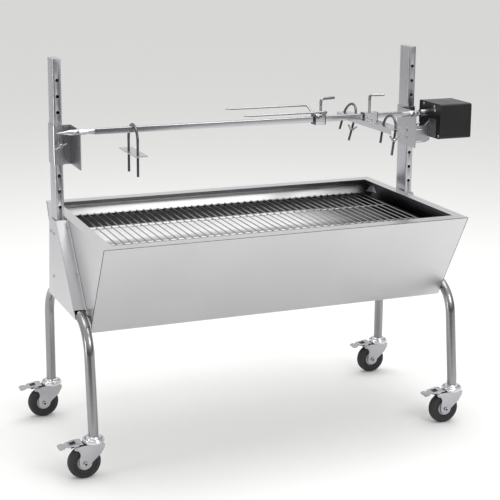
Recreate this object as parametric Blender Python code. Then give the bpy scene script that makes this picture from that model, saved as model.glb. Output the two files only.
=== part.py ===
"""Rotisserie spit roaster: a wheeled charcoal trough with a motor-driven spit above it.

Metres, +Z up. +X runs along the spit towards the motor, +Y to the back. Z is 0 on the floor, and X and Y
are 0 in the middle of the whole object's box. Every piece hangs under one empty in the trough's middle.
"""

from math import atan2, cos, hypot, pi, radians, sin, sqrt, tan

import bmesh
import bpy
from mathutils import Matrix, Vector

GAP = 0.0003  # clearance between pieces that touch
RUNNING = 0.0001  # radial clearance of a shaft that turns in a bore

# Fire trough
RIM_Z = 0.6025
TROUGH_HALF_LENGTH = 0.500
TROUGH_HALF_WIDTH = 0.293
FLOOR_HALF_WIDTH = 0.151
TROUGH_DEPTH = 0.2495
SHEET = 0.0015
END_LIP = 0.028
SIDE_LIP = 0.036
LIP_RETURN = 0.010
PANEL_SLOPE = (TROUGH_HALF_WIDTH - FLOOR_HALF_WIDTH) / TROUGH_DEPTH

# Wire grate and charcoal pan
WIRE = 0.0032
WIRE_COUNT = 45
GRATE_HALF_LENGTH = 0.455
GRATE_HALF_WIDTH = 0.2672
GRATE_Z = RIM_Z - 0.040
MIDDLE_WIRE_Y = 0.090
PAN_FLOOR_Z = RIM_Z - 0.080
PAN_HALF_LENGTH = 0.470
PAN_LIP = 0.006

# End housings, in the plane of the end panels
HOUSING_DEPTH = 0.031
HOUSING_TOP_REAR = (0.132, 0.5955)
HOUSING_TOP_FRONT = (0.0645, 0.5975)
HOUSING_LOW_FRONT = (-0.122, 0.383)
HOUSING_LOW_REAR = (0.155, 0.380)
FRONT_FLANGE = 0.014
REAR_FLANGE = 0.010

# Posts
POST_X = 0.5165
POST_Y = 0.095
POST_SIZE = (0.022, 0.055)
POST_WALL = 0.002
POST_BOTTOM = 0.402
POST_TOP = 1.021
HOLE_COUNT = 9
HOLE_PITCH = 0.04165
TOP_HOLE_Z = 0.9658
HOLE_RADIUS = 0.0045

# Leg frames
LEG_X = 0.5155
TUBE_RADIUS = 0.013
TUBE_BORE = 0.0115
RUN_Z = 0.3875
REAR_LEG_Y = 0.225
FRONT_BEND_Y = -0.1075
BEND_RADIUS = 0.090
FRONT_LEAN = radians(6.8)
FOOT_Z = 0.1085
FOOT_STRAIGHT = 0.018

# Casters
WHEEL_RADIUS = 0.042
TYRE_WIDTH = 0.026
HUB_RADIUS = 0.0195
AXLE_RADIUS = 0.004
WHEEL_TRAIL = 0.025
RING_RADIUS = 0.0285
CROWN_Z = 0.089
RING_TOP_Z = 0.103
CHEEK_Y = 0.0175
CHEEK_SHEET = 0.002
PEDAL_REACH = 0.091
PEDAL_WIDTH = 0.036
PEDAL_SHEET = 0.0022
PEDAL_NEAR_X = -0.0305
PEDAL_TOP_Z = 0.0972
PEDAL_DROP = 0.0085
PEDAL_PIVOT = (-0.0465, 0.0828)
PIN_RADIUS = 0.0018

# Spit
SPIT_Z = 0.840
SPIT_SIDE = 0.015
JOURNAL_RADIUS = 0.007
SPIT_POINT_X = -0.538
CONE_BASE_X = -0.502
LEFT_JOURNAL_END_X = -0.462
SQUARE_START_X = -0.440
SQUARE_END_X = 0.4475
COLLAR_START_X = 0.4745
COLLAR_END_X = 0.499
COLLAR_RADIUS = 0.0085
TANG_SIDE = 0.0085
TANG_END_X = 0.524

# Sliders
SLEEVE_GAP = 0.0005
SLEEVE_WALL = 0.002
SLIDER_BOTTOM = 0.7457
SLIDER_TOP = 0.8492
WEB_Y = 0.0715
FLANGE_X = 0.4825
FLANGE_SHEET = 0.0025
FLANGE_FRONT_Y = -0.025
SCREW_Z = TOP_HOLE_Z - 4 * HOLE_PITCH
NOTCH_CLEARANCE = 0.0005

# Clamps on the spit
CLAMP_BORE = 0.016
ROD_RADIUS = 0.0035
SPINE_X = -0.336
SPINE_HALF = 0.040
SPINE_ROD_END = 0.7215
SPINE_PLATE = (0.035, 0.145, 0.003)
SPINE_PLATE_Z = 0.780
FORK_X = 0.1925
FORK_COLLAR = (0.030, 0.028)
PRONG_Y = 0.0665
PRONG_RISE = 0.029
PRONG_TIP_X = -0.056
PRONG_RADIUS = 0.003
LEG_CLAMP_X = 0.348
LEG_SLEEVE = (0.041, 0.022)
BAR_SIZE = (0.040, 0.330, 0.015)
BAR_SHEET = 0.002
J_BOLT_Y = 0.120
J_BOLT_HALF = 0.036
J_BOLT_TOP = 0.0217
FRONT_J_TILT = radians(8)
REAR_J_TILT = radians(16)
FORK_SCREW_X = 0.0063
J_BOLTS = {
    "leg_j_bolt_front": (-J_BOLT_Y, FRONT_J_TILT),
    "leg_j_bolt_rear": (J_BOLT_Y, REAR_J_TILT),
}
WING_NUT_DROP = {"leg_j_bolt_front": 0.032, "leg_j_bolt_rear": 0.040}

# Motor
MOTOR_X = (0.535, 0.635)
MOTOR_Y = (-0.0675, 0.051)
MOTOR_Z = (0.7735, 0.8715)
MOTOR_WALL = 0.0025
COVER_X = 0.625
GEAR_MODULE = 0.00125
GEAR_TEETH = 36
PINION_TEETH = 12
GEAR_X = (0.550, 0.560)
PINION_DIRECTION = (-0.6, -0.8)
SWITCH_Y = (-0.047, -0.033)
SWITCH_Z = (0.834, 0.858)
GLAND_XY = (0.600, 0.026)

# The left pedals and the motor are the ends of the box in X, and its middle is the origin.
TROUGH_X = -(MOTOR_X[1] - (LEG_X + PEDAL_REACH)) / 2

STEEL = ((0.62, 0.62, 0.61), 1.0, 0.32)
POST_STEEL = ((0.42, 0.42, 0.43), 1.0, 0.38)
CHROME = ((0.75, 0.75, 0.76), 1.0, 0.12)
ZINC = ((0.66, 0.66, 0.67), 1.0, 0.30)
RUBBER = ((0.035, 0.035, 0.036), 0.0, 0.75)
GREY_PLASTIC = ((0.55, 0.55, 0.55), 0.0, 0.45)
BLACK_PLASTIC = ((0.012, 0.012, 0.013), 0.0, 0.42)
BRASS = ((0.55, 0.42, 0.16), 1.0, 0.35)


def clear_scene():
    for obj in list(bpy.data.objects):
        bpy.data.objects.remove(obj, do_unlink=True)


def material(name, finish):
    colour, metallic, roughness = finish
    made = bpy.data.materials.new(name)
    made.use_nodes = True
    shader = made.node_tree.nodes["Principled BSDF"]
    shader.inputs["Base Color"].default_value = (*colour, 1)
    shader.inputs["Metallic"].default_value = metallic
    shader.inputs["Roughness"].default_value = roughness
    return made


def add_object(name, bm, finish, parent, location=(0, 0, 0), rotation=(0, 0, 0)):
    """A named object from a bmesh in its own axes, with its own material."""
    bmesh.ops.recalc_face_normals(bm, faces=bm.faces)
    mesh = bpy.data.meshes.new(name)
    bm.to_mesh(mesh)
    bm.free()
    obj = bpy.data.objects.new(name, mesh)
    bpy.context.scene.collection.objects.link(obj)
    obj.parent = parent
    obj.location = location
    obj.rotation_euler = rotation
    mesh.materials.append(material(name + "_finish", finish))
    mesh.shade_smooth()
    mesh.set_sharp_from_angle(angle=radians(35))
    return obj


def box(x, y, z):
    """A closed box between the two values given on each axis."""
    bm = bmesh.new()
    bmesh.ops.create_cube(bm, size=1)
    size = Vector((x[1] - x[0], y[1] - y[0], z[1] - z[0]))
    middle = Vector((x[0] + x[1], y[0] + y[1], z[0] + z[1])) / 2
    for vert in bm.verts:
        vert.co = Vector(vert.co[axis] * size[axis] for axis in range(3)) + middle
    return bm


def prism(outline, axis, low, high):
    """The outline, as points in the two other axes, in their order, drawn out along one axis."""
    others = [k for k in range(3) if k != axis]
    bm = bmesh.new()
    verts = []
    for point in outline:
        place = [0, 0, 0]
        place[axis] = low
        place[others[0]], place[others[1]] = point
        verts.append(bm.verts.new(place))
    face = bm.faces.new(verts)
    out = bmesh.ops.extrude_face_region(bm, geom=[face])
    step = Vector((0, 0, 0))
    step[axis] = high - low
    moved = [item for item in out["geom"] if isinstance(item, bmesh.types.BMVert)]
    bmesh.ops.translate(bm, verts=moved, vec=step)
    return bm


def circle(centre, radius, count, start=0.0, turn=2 * pi, closed=True):
    steps = count if closed else count - 1
    return [
        (
            centre[0] + radius * cos(start + turn * k / steps),
            centre[1] + radius * sin(start + turn * k / steps),
        )
        for k in range(count)
    ]


def cylinder(axis, centre, radius, low, high, count=24):
    """A solid cylinder along one axis through centre, given in the two other axes."""
    return prism(circle(centre, radius, count), axis, low, high)


def turned(profile, axis, count, start=0.0):
    """A closed profile of (radius, height) points turned about an axis through the origin."""
    bm = bmesh.new()
    others = [k for k in range(3) if k != axis]
    rings = []
    for radius, height in profile:
        ring = []
        for k in range(count if radius > 0 else 1):
            place = [0, 0, 0]
            place[axis] = height
            place[others[0]] = radius * cos(start + 2 * pi * k / count)
            place[others[1]] = radius * sin(start + 2 * pi * k / count)
            ring.append(bm.verts.new(place))
        rings.append(ring)
    for first, second in zip(rings, rings[1:] + rings[:1]):
        if len(first) == 1 and len(second) == 1:
            continue
        for k in range(count):
            corners = [first[k % len(first)], first[(k + 1) % len(first)]]
            corners += [second[(k + 1) % len(second)], second[k % len(second)]]
            unique = list(dict.fromkeys(corners))
            bm.faces.new(unique)
    return bm


def frames_along(points):
    """A tangent and two normals at each point, carried along without twist."""
    tangents = []
    for k in range(len(points)):
        before = points[max(k - 1, 0)]
        after = points[min(k + 1, len(points) - 1)]
        tangents.append((after - before).normalized())
    side = tangents[0].orthogonal().normalized()
    frames = []
    for tangent in tangents:
        side = (side - tangent * side.dot(tangent)).normalized()
        frames.append((side, tangent.cross(side)))
    return frames


def sweep(points, radii, sides, bore=None):
    """A rod along the points, or a tube where bore is given. radii holds one radius for each point."""
    points = [Vector(point) for point in points]
    frames = frames_along(points)
    bm = bmesh.new()

    def rings(sizes):
        made = []
        for point, (side, up), size in zip(points, frames, sizes):
            ring = []
            for k in range(sides):
                angle = 2 * pi * (k + 0.5) / sides
                ring.append(bm.verts.new(point + size * (cos(angle) * side + sin(angle) * up)))
            made.append(ring)
        return made

    def skin(made):
        for first, second in zip(made, made[1:]):
            for k in range(sides):
                n = (k + 1) % sides
                bm.faces.new((first[k], first[n], second[n], second[k]))

    outer = rings(radii)
    skin(outer)
    if bore is None:
        bm.faces.new(outer[0])
        bm.faces.new(outer[-1])
        return bm
    inner = rings([bore] * len(points))
    skin(inner)
    for end in (0, -1):
        for k in range(sides):
            n = (k + 1) % sides
            bm.faces.new((outer[end][k], outer[end][n], inner[end][n], inner[end][k]))
    return bm


def rounded_path(corners, radius, steps):
    """The corners joined by straight runs, with each inner corner rounded to the radius."""
    corners = [Vector(corner) for corner in corners]
    path = [corners[0]]
    for before, corner, after in zip(corners, corners[1:], corners[2:]):
        into = (before - corner).normalized()
        out = (after - corner).normalized()
        half = into.angle(out) / 2
        reach = radius / tan(half)
        centre = corner + (into + out).normalized() * radius / sin(half)
        first = corner + into * reach - centre
        last = corner + out * reach - centre
        whole = first.angle(last)
        for k in range(steps + 1):
            share = k / steps
            weight_a = sin((1 - share) * whole) / sin(whole)
            weight_b = sin(share * whole) / sin(whole)
            path.append(centre + first * weight_a + last * weight_b)
    path.append(corners[-1])
    return path


def rounded_rectangle(half_x, half_y, corner, steps):
    points = []
    for quarter, (sx, sy) in enumerate(((1, 1), (-1, 1), (-1, -1), (1, -1))):
        middle = (sx * (half_x - corner), sy * (half_y - corner))
        start = quarter * pi / 2
        points += circle(middle, corner, steps + 1, start, pi / 2, closed=False)
    return points


def solid(bm, *steps):
    """The bmesh after each ('cut' or 'join', other bmesh) step, by exact Booleans."""
    scene = bpy.context.scene
    base = helper(bm)
    for action, other_bm in steps:
        other = helper(other_bm)
        modifier = base.modifiers.new("step", "BOOLEAN")
        modifier.solver = "EXACT"
        modifier.operation = "DIFFERENCE" if action == "cut" else "UNION"
        modifier.object = other
        bpy.context.view_layer.update()
        graph = bpy.context.evaluated_depsgraph_get()
        mesh = bpy.data.meshes.new_from_object(base.evaluated_get(graph))
        base.modifiers.clear()
        base.data = mesh
        scene.collection.objects.unlink(other)
        bpy.data.objects.remove(other)
    result = bmesh.new()
    result.from_mesh(base.data)
    scene.collection.objects.unlink(base)
    bpy.data.objects.remove(base)
    return result


def helper(bm):
    bmesh.ops.recalc_face_normals(bm, faces=bm.faces)
    mesh = bpy.data.meshes.new("helper")
    bm.to_mesh(mesh)
    bm.free()
    obj = bpy.data.objects.new("helper", mesh)
    obj.hide_render = True
    obj.display_type = "WIRE"
    bpy.context.scene.collection.objects.link(obj)
    return obj


def mirrored(bm, side):
    """The bmesh as made for the right side, or mirrored in X for the left one."""
    if side < 0:
        bmesh.ops.transform(bm, matrix=Matrix.Scale(-1, 4, Vector((1, 0, 0))), verts=bm.verts)
    return bm


def panel_y(z, inset=0.0):
    """Half the trough's width at height z, taken in by inset."""
    return TROUGH_HALF_WIDTH - PANEL_SLOPE * (RIM_Z - z) - inset


# ---------------------------------------------------------------- trough, pan and grate


def make_trough(parent):
    floor_z = RIM_Z - TROUGH_DEPTH
    outline = [
        (-TROUGH_HALF_WIDTH, RIM_Z),
        (TROUGH_HALF_WIDTH, RIM_Z),
        (FLOOR_HALF_WIDTH, floor_z),
        (-FLOOR_HALF_WIDTH, floor_z),
    ]
    skin = SHEET * sqrt(1 + PANEL_SLOPE**2)
    top, low = RIM_Z - SHEET, floor_z + SHEET
    inside = [
        (-panel_y(top, skin), top),
        (panel_y(top, skin), top),
        (panel_y(low, skin), low),
        (-panel_y(low, skin), low),
    ]
    mouth_x = TROUGH_HALF_LENGTH - END_LIP
    mouth_y = TROUGH_HALF_WIDTH - SIDE_LIP
    hanging = RIM_Z - LIP_RETURN
    ring = solid(
        box(
            (-mouth_x - SHEET, mouth_x + SHEET),
            (-mouth_y - SHEET, mouth_y + SHEET),
            (hanging, RIM_Z - SHEET / 2),
        ),
        ("cut", box((-mouth_x, mouth_x), (-mouth_y, mouth_y), (hanging - 1, RIM_Z + 1))),
    )
    inner_x = TROUGH_HALF_LENGTH - SHEET
    bm = solid(
        prism(outline, 0, -TROUGH_HALF_LENGTH, TROUGH_HALF_LENGTH),
        ("cut", prism(inside, 0, -inner_x, inner_x)),
        ("cut", box((-mouth_x, mouth_x), (-mouth_y, mouth_y), (RIM_Z - 0.01, RIM_Z + 0.01))),
        ("join", ring),
    )
    return add_object("trough", bm, STEEL, parent)


def make_pan(parent):
    """The charcoal pan under the grate. Its sides lie on the sloped panels, which hold it up."""
    top = GRATE_Z - WIRE / 2 - GAP
    clear = SHEET * sqrt(1 + PANEL_SLOPE**2) + GAP
    outline = [
        (-panel_y(PAN_FLOOR_Z, clear), PAN_FLOOR_Z),
        (panel_y(PAN_FLOOR_Z, clear), PAN_FLOOR_Z),
        (panel_y(top, clear), top),
        (-panel_y(top, clear), top),
    ]
    low, high = PAN_FLOOR_Z + SHEET, top - SHEET
    wall = clear + SHEET * 1.2
    inside = [
        (-panel_y(low, wall), low),
        (panel_y(low, wall), low),
        (panel_y(high, wall), high),
        (-panel_y(high, wall), high),
    ]
    mouth_x = PAN_HALF_LENGTH - PAN_LIP
    mouth_y = panel_y(top, clear) - PAN_LIP
    bm = solid(
        prism(outline, 0, -PAN_HALF_LENGTH, PAN_HALF_LENGTH),
        ("cut", prism(inside, 0, -PAN_HALF_LENGTH + SHEET, PAN_HALF_LENGTH - SHEET)),
        ("cut", box((-mouth_x, mouth_x), (-mouth_y, mouth_y), (high - 0.005, top + 0.01))),
    )
    return add_object("charcoal_pan", bm, STEEL, parent)


def make_grate(parent):
    """One welded grid, front to back wires and four cross wires. Its ends lie on the sloped panels."""
    pitch = 2 * (GRATE_HALF_LENGTH - WIRE / 2) / (WIRE_COUNT - 1)
    columns = [-GRATE_HALF_LENGTH]
    for k in range(WIRE_COUNT):
        middle = -GRATE_HALF_LENGTH + WIRE / 2 + k * pitch
        columns += [middle - WIRE / 2, middle + WIRE / 2]
    columns = columns[1:]
    rows = []
    end_y = GRATE_HALF_WIDTH - WIRE / 2
    for y in (-end_y, -MIDDLE_WIRE_Y, MIDDLE_WIRE_Y, end_y):
        rows += [y - WIRE / 2, y + WIRE / 2]
    bm = bmesh.new()
    low, high = -WIRE / 2, WIRE / 2

    def vert(k, n, z, cache={}):
        key = (k, n, z)
        if key not in cache:
            cache[key] = bm.verts.new((columns[k], rows[n], z))
        return cache[key]

    def filled(k, n):
        inside = 0 <= k < len(columns) - 1 and 0 <= n < len(rows) - 1
        return inside and (k % 2 == 0 or n % 2 == 0)

    for k in range(len(columns) - 1):
        for n in range(len(rows) - 1):
            if not filled(k, n):
                continue
            ring = ((k, n), (k + 1, n), (k + 1, n + 1), (k, n + 1))
            bm.faces.new([vert(a, b, high) for a, b in ring])
            bm.faces.new([vert(a, b, low) for a, b in reversed(ring)])
            beyond = ((k, n - 1), (k + 1, n), (k, n + 1), (k - 1, n))
            for (first, second), cell in zip(zip(ring, ring[1:] + ring[:1]), beyond):
                if not filled(*cell):
                    corners = [vert(*first, low), vert(*second, low)]
                    corners += [vert(*second, high), vert(*first, high)]
                    bm.faces.new(corners)
    return add_object("wire_grate", bm, CHROME, parent, (0, 0, GRATE_Z))


# ---------------------------------------------------------------- end housings, posts, leg frames


def housing_flange_corners():
    """The low and high outer corners of the front flange, square to the housing's sloped front edge."""
    run = Vector(HOUSING_LOW_FRONT) - Vector(HOUSING_TOP_FRONT)
    out = Vector((run[1], -run[0])).normalized() * FRONT_FLANGE
    return Vector(HOUSING_TOP_FRONT) + out, Vector(HOUSING_LOW_FRONT) + out


def make_housing(name, side, parent):
    face_x = TROUGH_HALF_LENGTH + GAP
    outer_x = TROUGH_HALF_LENGTH + HOUSING_DEPTH
    outline = [HOUSING_TOP_REAR, HOUSING_TOP_FRONT, HOUSING_LOW_FRONT, HOUSING_LOW_REAR]
    high, low = housing_flange_corners()
    flange = [
        (HOUSING_TOP_REAR[0] + REAR_FLANGE, HOUSING_TOP_REAR[1] - 0.012),
        (HOUSING_TOP_REAR[0], HOUSING_TOP_REAR[1]),
        (HOUSING_TOP_FRONT[0], HOUSING_TOP_FRONT[1]),
        (high[0] - 0.004, high[1] - 0.012),
        (low[0], low[1]),
        (HOUSING_LOW_REAR[0] + REAR_FLANGE, HOUSING_LOW_REAR[1]),
    ]
    inset = SHEET * 1.35
    inside = [
        (HOUSING_TOP_REAR[0] - SHEET, HOUSING_TOP_REAR[1] + 0.02),
        (HOUSING_TOP_FRONT[0] + inset, HOUSING_TOP_FRONT[1] + 0.02),
        (HOUSING_TOP_FRONT[0] + inset, HOUSING_TOP_FRONT[1] - 0.001),
        (HOUSING_LOW_FRONT[0] + inset, HOUSING_LOW_FRONT[1] - 0.001),
        (HOUSING_LOW_FRONT[0] + inset, HOUSING_LOW_FRONT[1] - 0.02),
        (HOUSING_LOW_REAR[0] - SHEET, HOUSING_LOW_REAR[1] - 0.02),
        (HOUSING_LOW_REAR[0] - SHEET, HOUSING_LOW_REAR[1]),
    ]
    tube_top = RUN_Z + TUBE_RADIUS + 0.0015
    slots = []
    for y, z in (HOUSING_LOW_FRONT, HOUSING_LOW_REAR):
        slot = box((face_x - 0.01, outer_x - SHEET), (y - 0.02, y + 0.02), (z - 0.01, tube_top))
        slots.append(("cut", slot))
    bm = solid(
        prism(outline, 0, face_x, outer_x),
        ("join", prism(flange, 0, face_x, face_x + SHEET)),
        ("cut", prism(inside, 0, face_x - 0.01, outer_x - SHEET)),
        *slots,
    )
    return add_object(name, mirrored(bm, side), STEEL, parent)


def make_post(name, side, parent):
    half_x, half_y = POST_SIZE[0] / 2, POST_SIZE[1] / 2
    outer = rounded_rectangle(half_x, half_y, 0.0025, 1)
    inner = rounded_rectangle(half_x - POST_WALL, half_y - POST_WALL, 0.001, 1)
    bm = solid(
        prism(outer, 2, POST_BOTTOM, POST_TOP),
        ("cut", prism(inner, 2, POST_BOTTOM - 0.01, POST_TOP - POST_WALL)),
    )
    for k in range(HOLE_COUNT):
        hole = cylinder(1, (0, TOP_HOLE_Z - k * HOLE_PITCH), HOLE_RADIUS, -0.05, 0.05, 8)
        bm = solid(bm, ("cut", hole))
    return add_object(name, bm, POST_STEEL, parent, (side * POST_X, POST_Y, 0))


def leg_path():
    """From the rear foot up, through the housing and down to the front foot."""
    points = [(0, REAR_LEG_Y, FOOT_Z), (0, REAR_LEG_Y, RUN_Z - BEND_RADIUS)]
    steps = 6
    for k in range(1, steps + 1):
        angle = pi / 2 * k / steps
        points.append(
            (0, REAR_LEG_Y - BEND_RADIUS * (1 - cos(angle)), RUN_Z - BEND_RADIUS * (1 - sin(angle)))
        )
    turn = pi / 2 - FRONT_LEAN
    for k in range(steps + 1):
        angle = turn * k / steps
        points.append((0, FRONT_BEND_Y - BEND_RADIUS * sin(angle), RUN_Z - BEND_RADIUS * (1 - cos(angle))))
    kink_z = FOOT_Z + FOOT_STRAIGHT
    foot_y = front_foot_y()
    points.append((0, foot_y + 0.0005, kink_z + 0.004))
    points.append((0, foot_y, kink_z - 0.004))
    points.append((0, foot_y, FOOT_Z))
    return points


def front_foot_y():
    turn = pi / 2 - FRONT_LEAN
    bend_y = FRONT_BEND_Y - BEND_RADIUS * sin(turn)
    bend_z = RUN_Z - BEND_RADIUS * (1 - cos(turn))
    return bend_y - (bend_z - FOOT_Z - FOOT_STRAIGHT) * tan(FRONT_LEAN)


def make_leg_frame(name, side, parent):
    path = leg_path()
    bm = sweep(path, [TUBE_RADIUS] * len(path), 12, TUBE_BORE)
    return add_object(name, bm, POST_STEEL, parent, (side * LEG_X, 0, 0))


# ---------------------------------------------------------------- casters


def caster_cup():
    """The fixed upper race with its stem up the leg tube."""
    profile = [
        (0, 0.0935),
        (0.0185, 0.0935),
        (0.0205, 0.0965),
        (0.0185, FOOT_Z - GAP),
        (TUBE_BORE - 0.0004, FOOT_Z - GAP),
        (TUBE_BORE - 0.0004, FOOT_Z + 0.013),
        (0, FOOT_Z + 0.013),
    ]
    return turned(profile, 2, 16)


def caster_ring():
    """The swivelling lower race: a dished ring round the cup."""
    profile = [
        (0.0, CROWN_Z),
        (0.0240, CROWN_Z),
        (RING_RADIUS, 0.0950),
        (0.0275, 0.1000),
        (0.0245, RING_TOP_Z),
        (0.0220, 0.1000),
        (0.0215, 0.0930),
        (0.0, 0.0930),
    ]
    return turned(profile, 2, 20)


def cheek_outline():
    """One fork cheek from the side, in X and Z: wide under the ring, round at the axle."""
    axle = (-WHEEL_TRAIL, WHEEL_RADIUS)
    foot = circle(axle, 0.0155, 7, radians(160), radians(200), closed=False)
    return [(0.0235, CROWN_Z + 0.001), (0.0215, CROWN_Z - 0.012)] + foot[::-1] + [
        (-0.036, 0.068),
        (-0.041, 0.0775),
        (-0.051, 0.0790),
        (-0.052, 0.0870),
        (-0.024, CROWN_Z + 0.001),
    ]


def caster_fork():
    bm = caster_ring()
    for sign in (-1, 1):
        near = sign * (CHEEK_Y - CHEEK_SHEET)
        far = sign * CHEEK_Y
        cheek = prism(cheek_outline(), 1, min(near, far), max(near, far))
        bm = solid(bm, ("join", cheek))
    bore = cylinder(1, (-WHEEL_TRAIL, WHEEL_RADIUS), AXLE_RADIUS + RUNNING, -0.03, 0.03, 12)
    pin_bore = cylinder(1, PEDAL_PIVOT, PIN_RADIUS + RUNNING, -0.03, 0.03, 12)
    return solid(bm, ("cut", bore), ("cut", pin_bore))


def wheel_tyre():
    half = TYRE_WIDTH / 2
    count = 24
    outer = WHEEL_RADIUS / cos(pi / count)
    profile = [
        (HUB_RADIUS + 2 * GAP, half - 0.001),
        (outer - 0.006, half),
        (outer, half - 0.006),
        (outer, -half + 0.006),
        (outer - 0.006, -half),
        (HUB_RADIUS + 2 * GAP, -half + 0.001),
    ]
    return turned(profile, 1, count, pi / count)


def wheel_hub():
    half = TYRE_WIDTH / 2
    profile = [
        (AXLE_RADIUS + RUNNING, half + 0.001),
        (0.0085, half + 0.001),
        (0.0110, half - 0.004),
        (HUB_RADIUS, half - 0.003),
        (HUB_RADIUS, -half + 0.003),
        (0.0110, -half + 0.004),
        (0.0085, -half - 0.001),
        (AXLE_RADIUS + RUNNING, -half - 0.001),
    ]
    return turned(profile, 1, 16)


def axle_bolt():
    """Bolt with a head outside one cheek and its nut outside the other."""
    reach = CHEEK_Y + GAP
    rod = cylinder(1, (0, 0), AXLE_RADIUS, -reach - 0.003, reach + 0.003, 12)
    head = cylinder(1, (0, 0), 0.0065, reach, reach + 0.004, 6)
    nut = cylinder(1, (0, 0), 0.0065, -reach - 0.004, -reach, 6)
    return solid(rod, ("join", head), ("join", nut))


def brake_pedal():
    """A bent plate over the wheel with two ears on a pin through the fork. Its origin is on the pin."""
    half = PEDAL_WIDTH / 2
    near, bend, far = PEDAL_NEAR_X - PEDAL_PIVOT[0], 0.002, -(PEDAL_REACH + PEDAL_PIVOT[0])
    top = PEDAL_TOP_Z - PEDAL_PIVOT[1]
    low = top - PEDAL_SHEET
    outline = [
        (near, top),
        (bend, top),
        (far, top - PEDAL_DROP),
        (far, low - PEDAL_DROP),
        (bend, low),
        (near, low),
    ]
    slot = box((far + 0.029, far + 0.044), (-0.010, 0.010), (-0.02, 0.04))
    bm = solid(prism(outline, 1, -half, half), ("cut", slot))
    ear_y = CHEEK_Y - CHEEK_SHEET - 2 * GAP
    for y in (-ear_y, ear_y - PEDAL_SHEET):
        side_view = [(0.007, low + 0.001), (-0.007, low + 0.0005), (-0.003, -0.003), (0.003, -0.003)]
        ear = prism(side_view, 1, y, y + PEDAL_SHEET)
        bm = solid(bm, ("join", ear))
    pin = cylinder(1, (0, 0), PIN_RADIUS, -CHEEK_Y - 0.001, CHEEK_Y + 0.001, 12)
    return solid(bm, ("join", pin))


def make_caster(name, x, y, parent):
    place = (x, y, 0)
    add_object(name + "_cup", caster_cup(), CHROME, parent, place)
    swivel = bpy.data.objects.new(name + "_swivel", None)
    bpy.context.scene.collection.objects.link(swivel)
    swivel.parent = parent
    swivel.location = place
    axle = (-WHEEL_TRAIL, 0, WHEEL_RADIUS)
    add_object(name + "_fork", caster_fork(), ZINC, swivel)
    add_object(name + "_tyre", wheel_tyre(), RUBBER, swivel, axle)
    add_object(name + "_hub", wheel_hub(), GREY_PLASTIC, swivel, axle)
    add_object(name + "_axle", axle_bolt(), ZINC, swivel, axle)
    add_object(name + "_brake_pedal", brake_pedal(), ZINC, swivel, (PEDAL_PIVOT[0], 0, PEDAL_PIVOT[1]))


# ---------------------------------------------------------------- sliders and motor bracket


def slider_flange_outline(notch_radius):
    """The notched flange in Y and Z, with its front upper corner rounded."""
    corner = 0.012
    rear_y = WEB_Y + 0.002
    outline = [(rear_y, SLIDER_BOTTOM), (rear_y, SLIDER_TOP), (notch_radius, SLIDER_TOP)]
    outline += circle((0, SPIT_Z), notch_radius, 11, 0, -pi, closed=False)
    outline += [(-notch_radius, SLIDER_TOP)]
    middle = (FLANGE_FRONT_Y + corner, SLIDER_TOP - corner)
    outline += circle(middle, corner, 6, pi / 2, pi / 2, closed=False)
    outline += [(FLANGE_FRONT_Y, SLIDER_BOTTOM)]
    return outline


def make_slider(name, side, notch_radius, parent):
    """Sleeve on the post, web towards the trough, notched flange and the screw's boss."""
    half_x = POST_SIZE[0] / 2 + SLEEVE_GAP
    half_y = POST_SIZE[1] / 2 + SLEEVE_GAP
    outer_x, outer_y = half_x + SLEEVE_WALL, half_y + SLEEVE_WALL
    sleeve = prism(rounded_rectangle(outer_x, outer_y, 0.003, 3), 2, SLIDER_BOTTOM, SLIDER_TOP)
    bore = prism(rounded_rectangle(half_x, half_y, 0.001, 1), 2, SLIDER_BOTTOM - 0.01, SLIDER_TOP + 0.01)
    web_far = FLANGE_X - POST_X
    web_y = (WEB_Y - POST_Y, WEB_Y + 0.002 - POST_Y)
    web = box((web_far, -outer_x + 0.001), web_y, (SLIDER_BOTTOM, SLIDER_TOP))
    outline = [(y - POST_Y, z) for y, z in slider_flange_outline(notch_radius)]
    flange = prism(outline, 0, web_far - FLANGE_SHEET / 2, web_far + FLANGE_SHEET / 2)
    boss = cylinder(1, (0, SCREW_Z), 0.008, -outer_y - 0.006, -outer_y + 0.001, 18)
    thread = cylinder(1, (0, SCREW_Z), 0.004 + GAP, -outer_y - 0.01, -half_y + 0.001, 16)
    bm = solid(
        sleeve,
        ("join", web),
        ("join", flange),
        ("join", boss),
        ("cut", bore),
        ("cut", thread),
    )
    return add_object(name, mirrored(bm, side), POST_STEEL, parent, (side * POST_X, POST_Y, 0))


def wing_screw():
    """Screw along Y with two wings. Its origin is on its axis at the tip, and the head is towards -Y."""
    rod = cylinder(1, (0, 0), 0.004, -0.026, 0, 16)
    hub = cylinder(1, (0, 0), 0.0062, -0.030, -0.0165, 16)
    bm = solid(rod, ("join", hub))
    for sign in (-1, 1):
        wing = [
            (sign * 0.003, -0.0165),
            (sign * 0.012, -0.0235),
            (sign * 0.0155, -0.0315),
            (sign * 0.0115, -0.0335),
            (sign * 0.003, -0.0275),
        ]
        bm = solid(bm, ("join", prism(wing, 2, -0.0018, 0.0018)))
    return bm


def make_clamp_screw(name, side, parent):
    tip_y = POST_Y - POST_SIZE[1] / 2 - GAP
    return add_object(
        name, wing_screw(), ZINC, parent, (side * POST_X, tip_y, SCREW_Z), (0, radians(-25), 0)
    )


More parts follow.
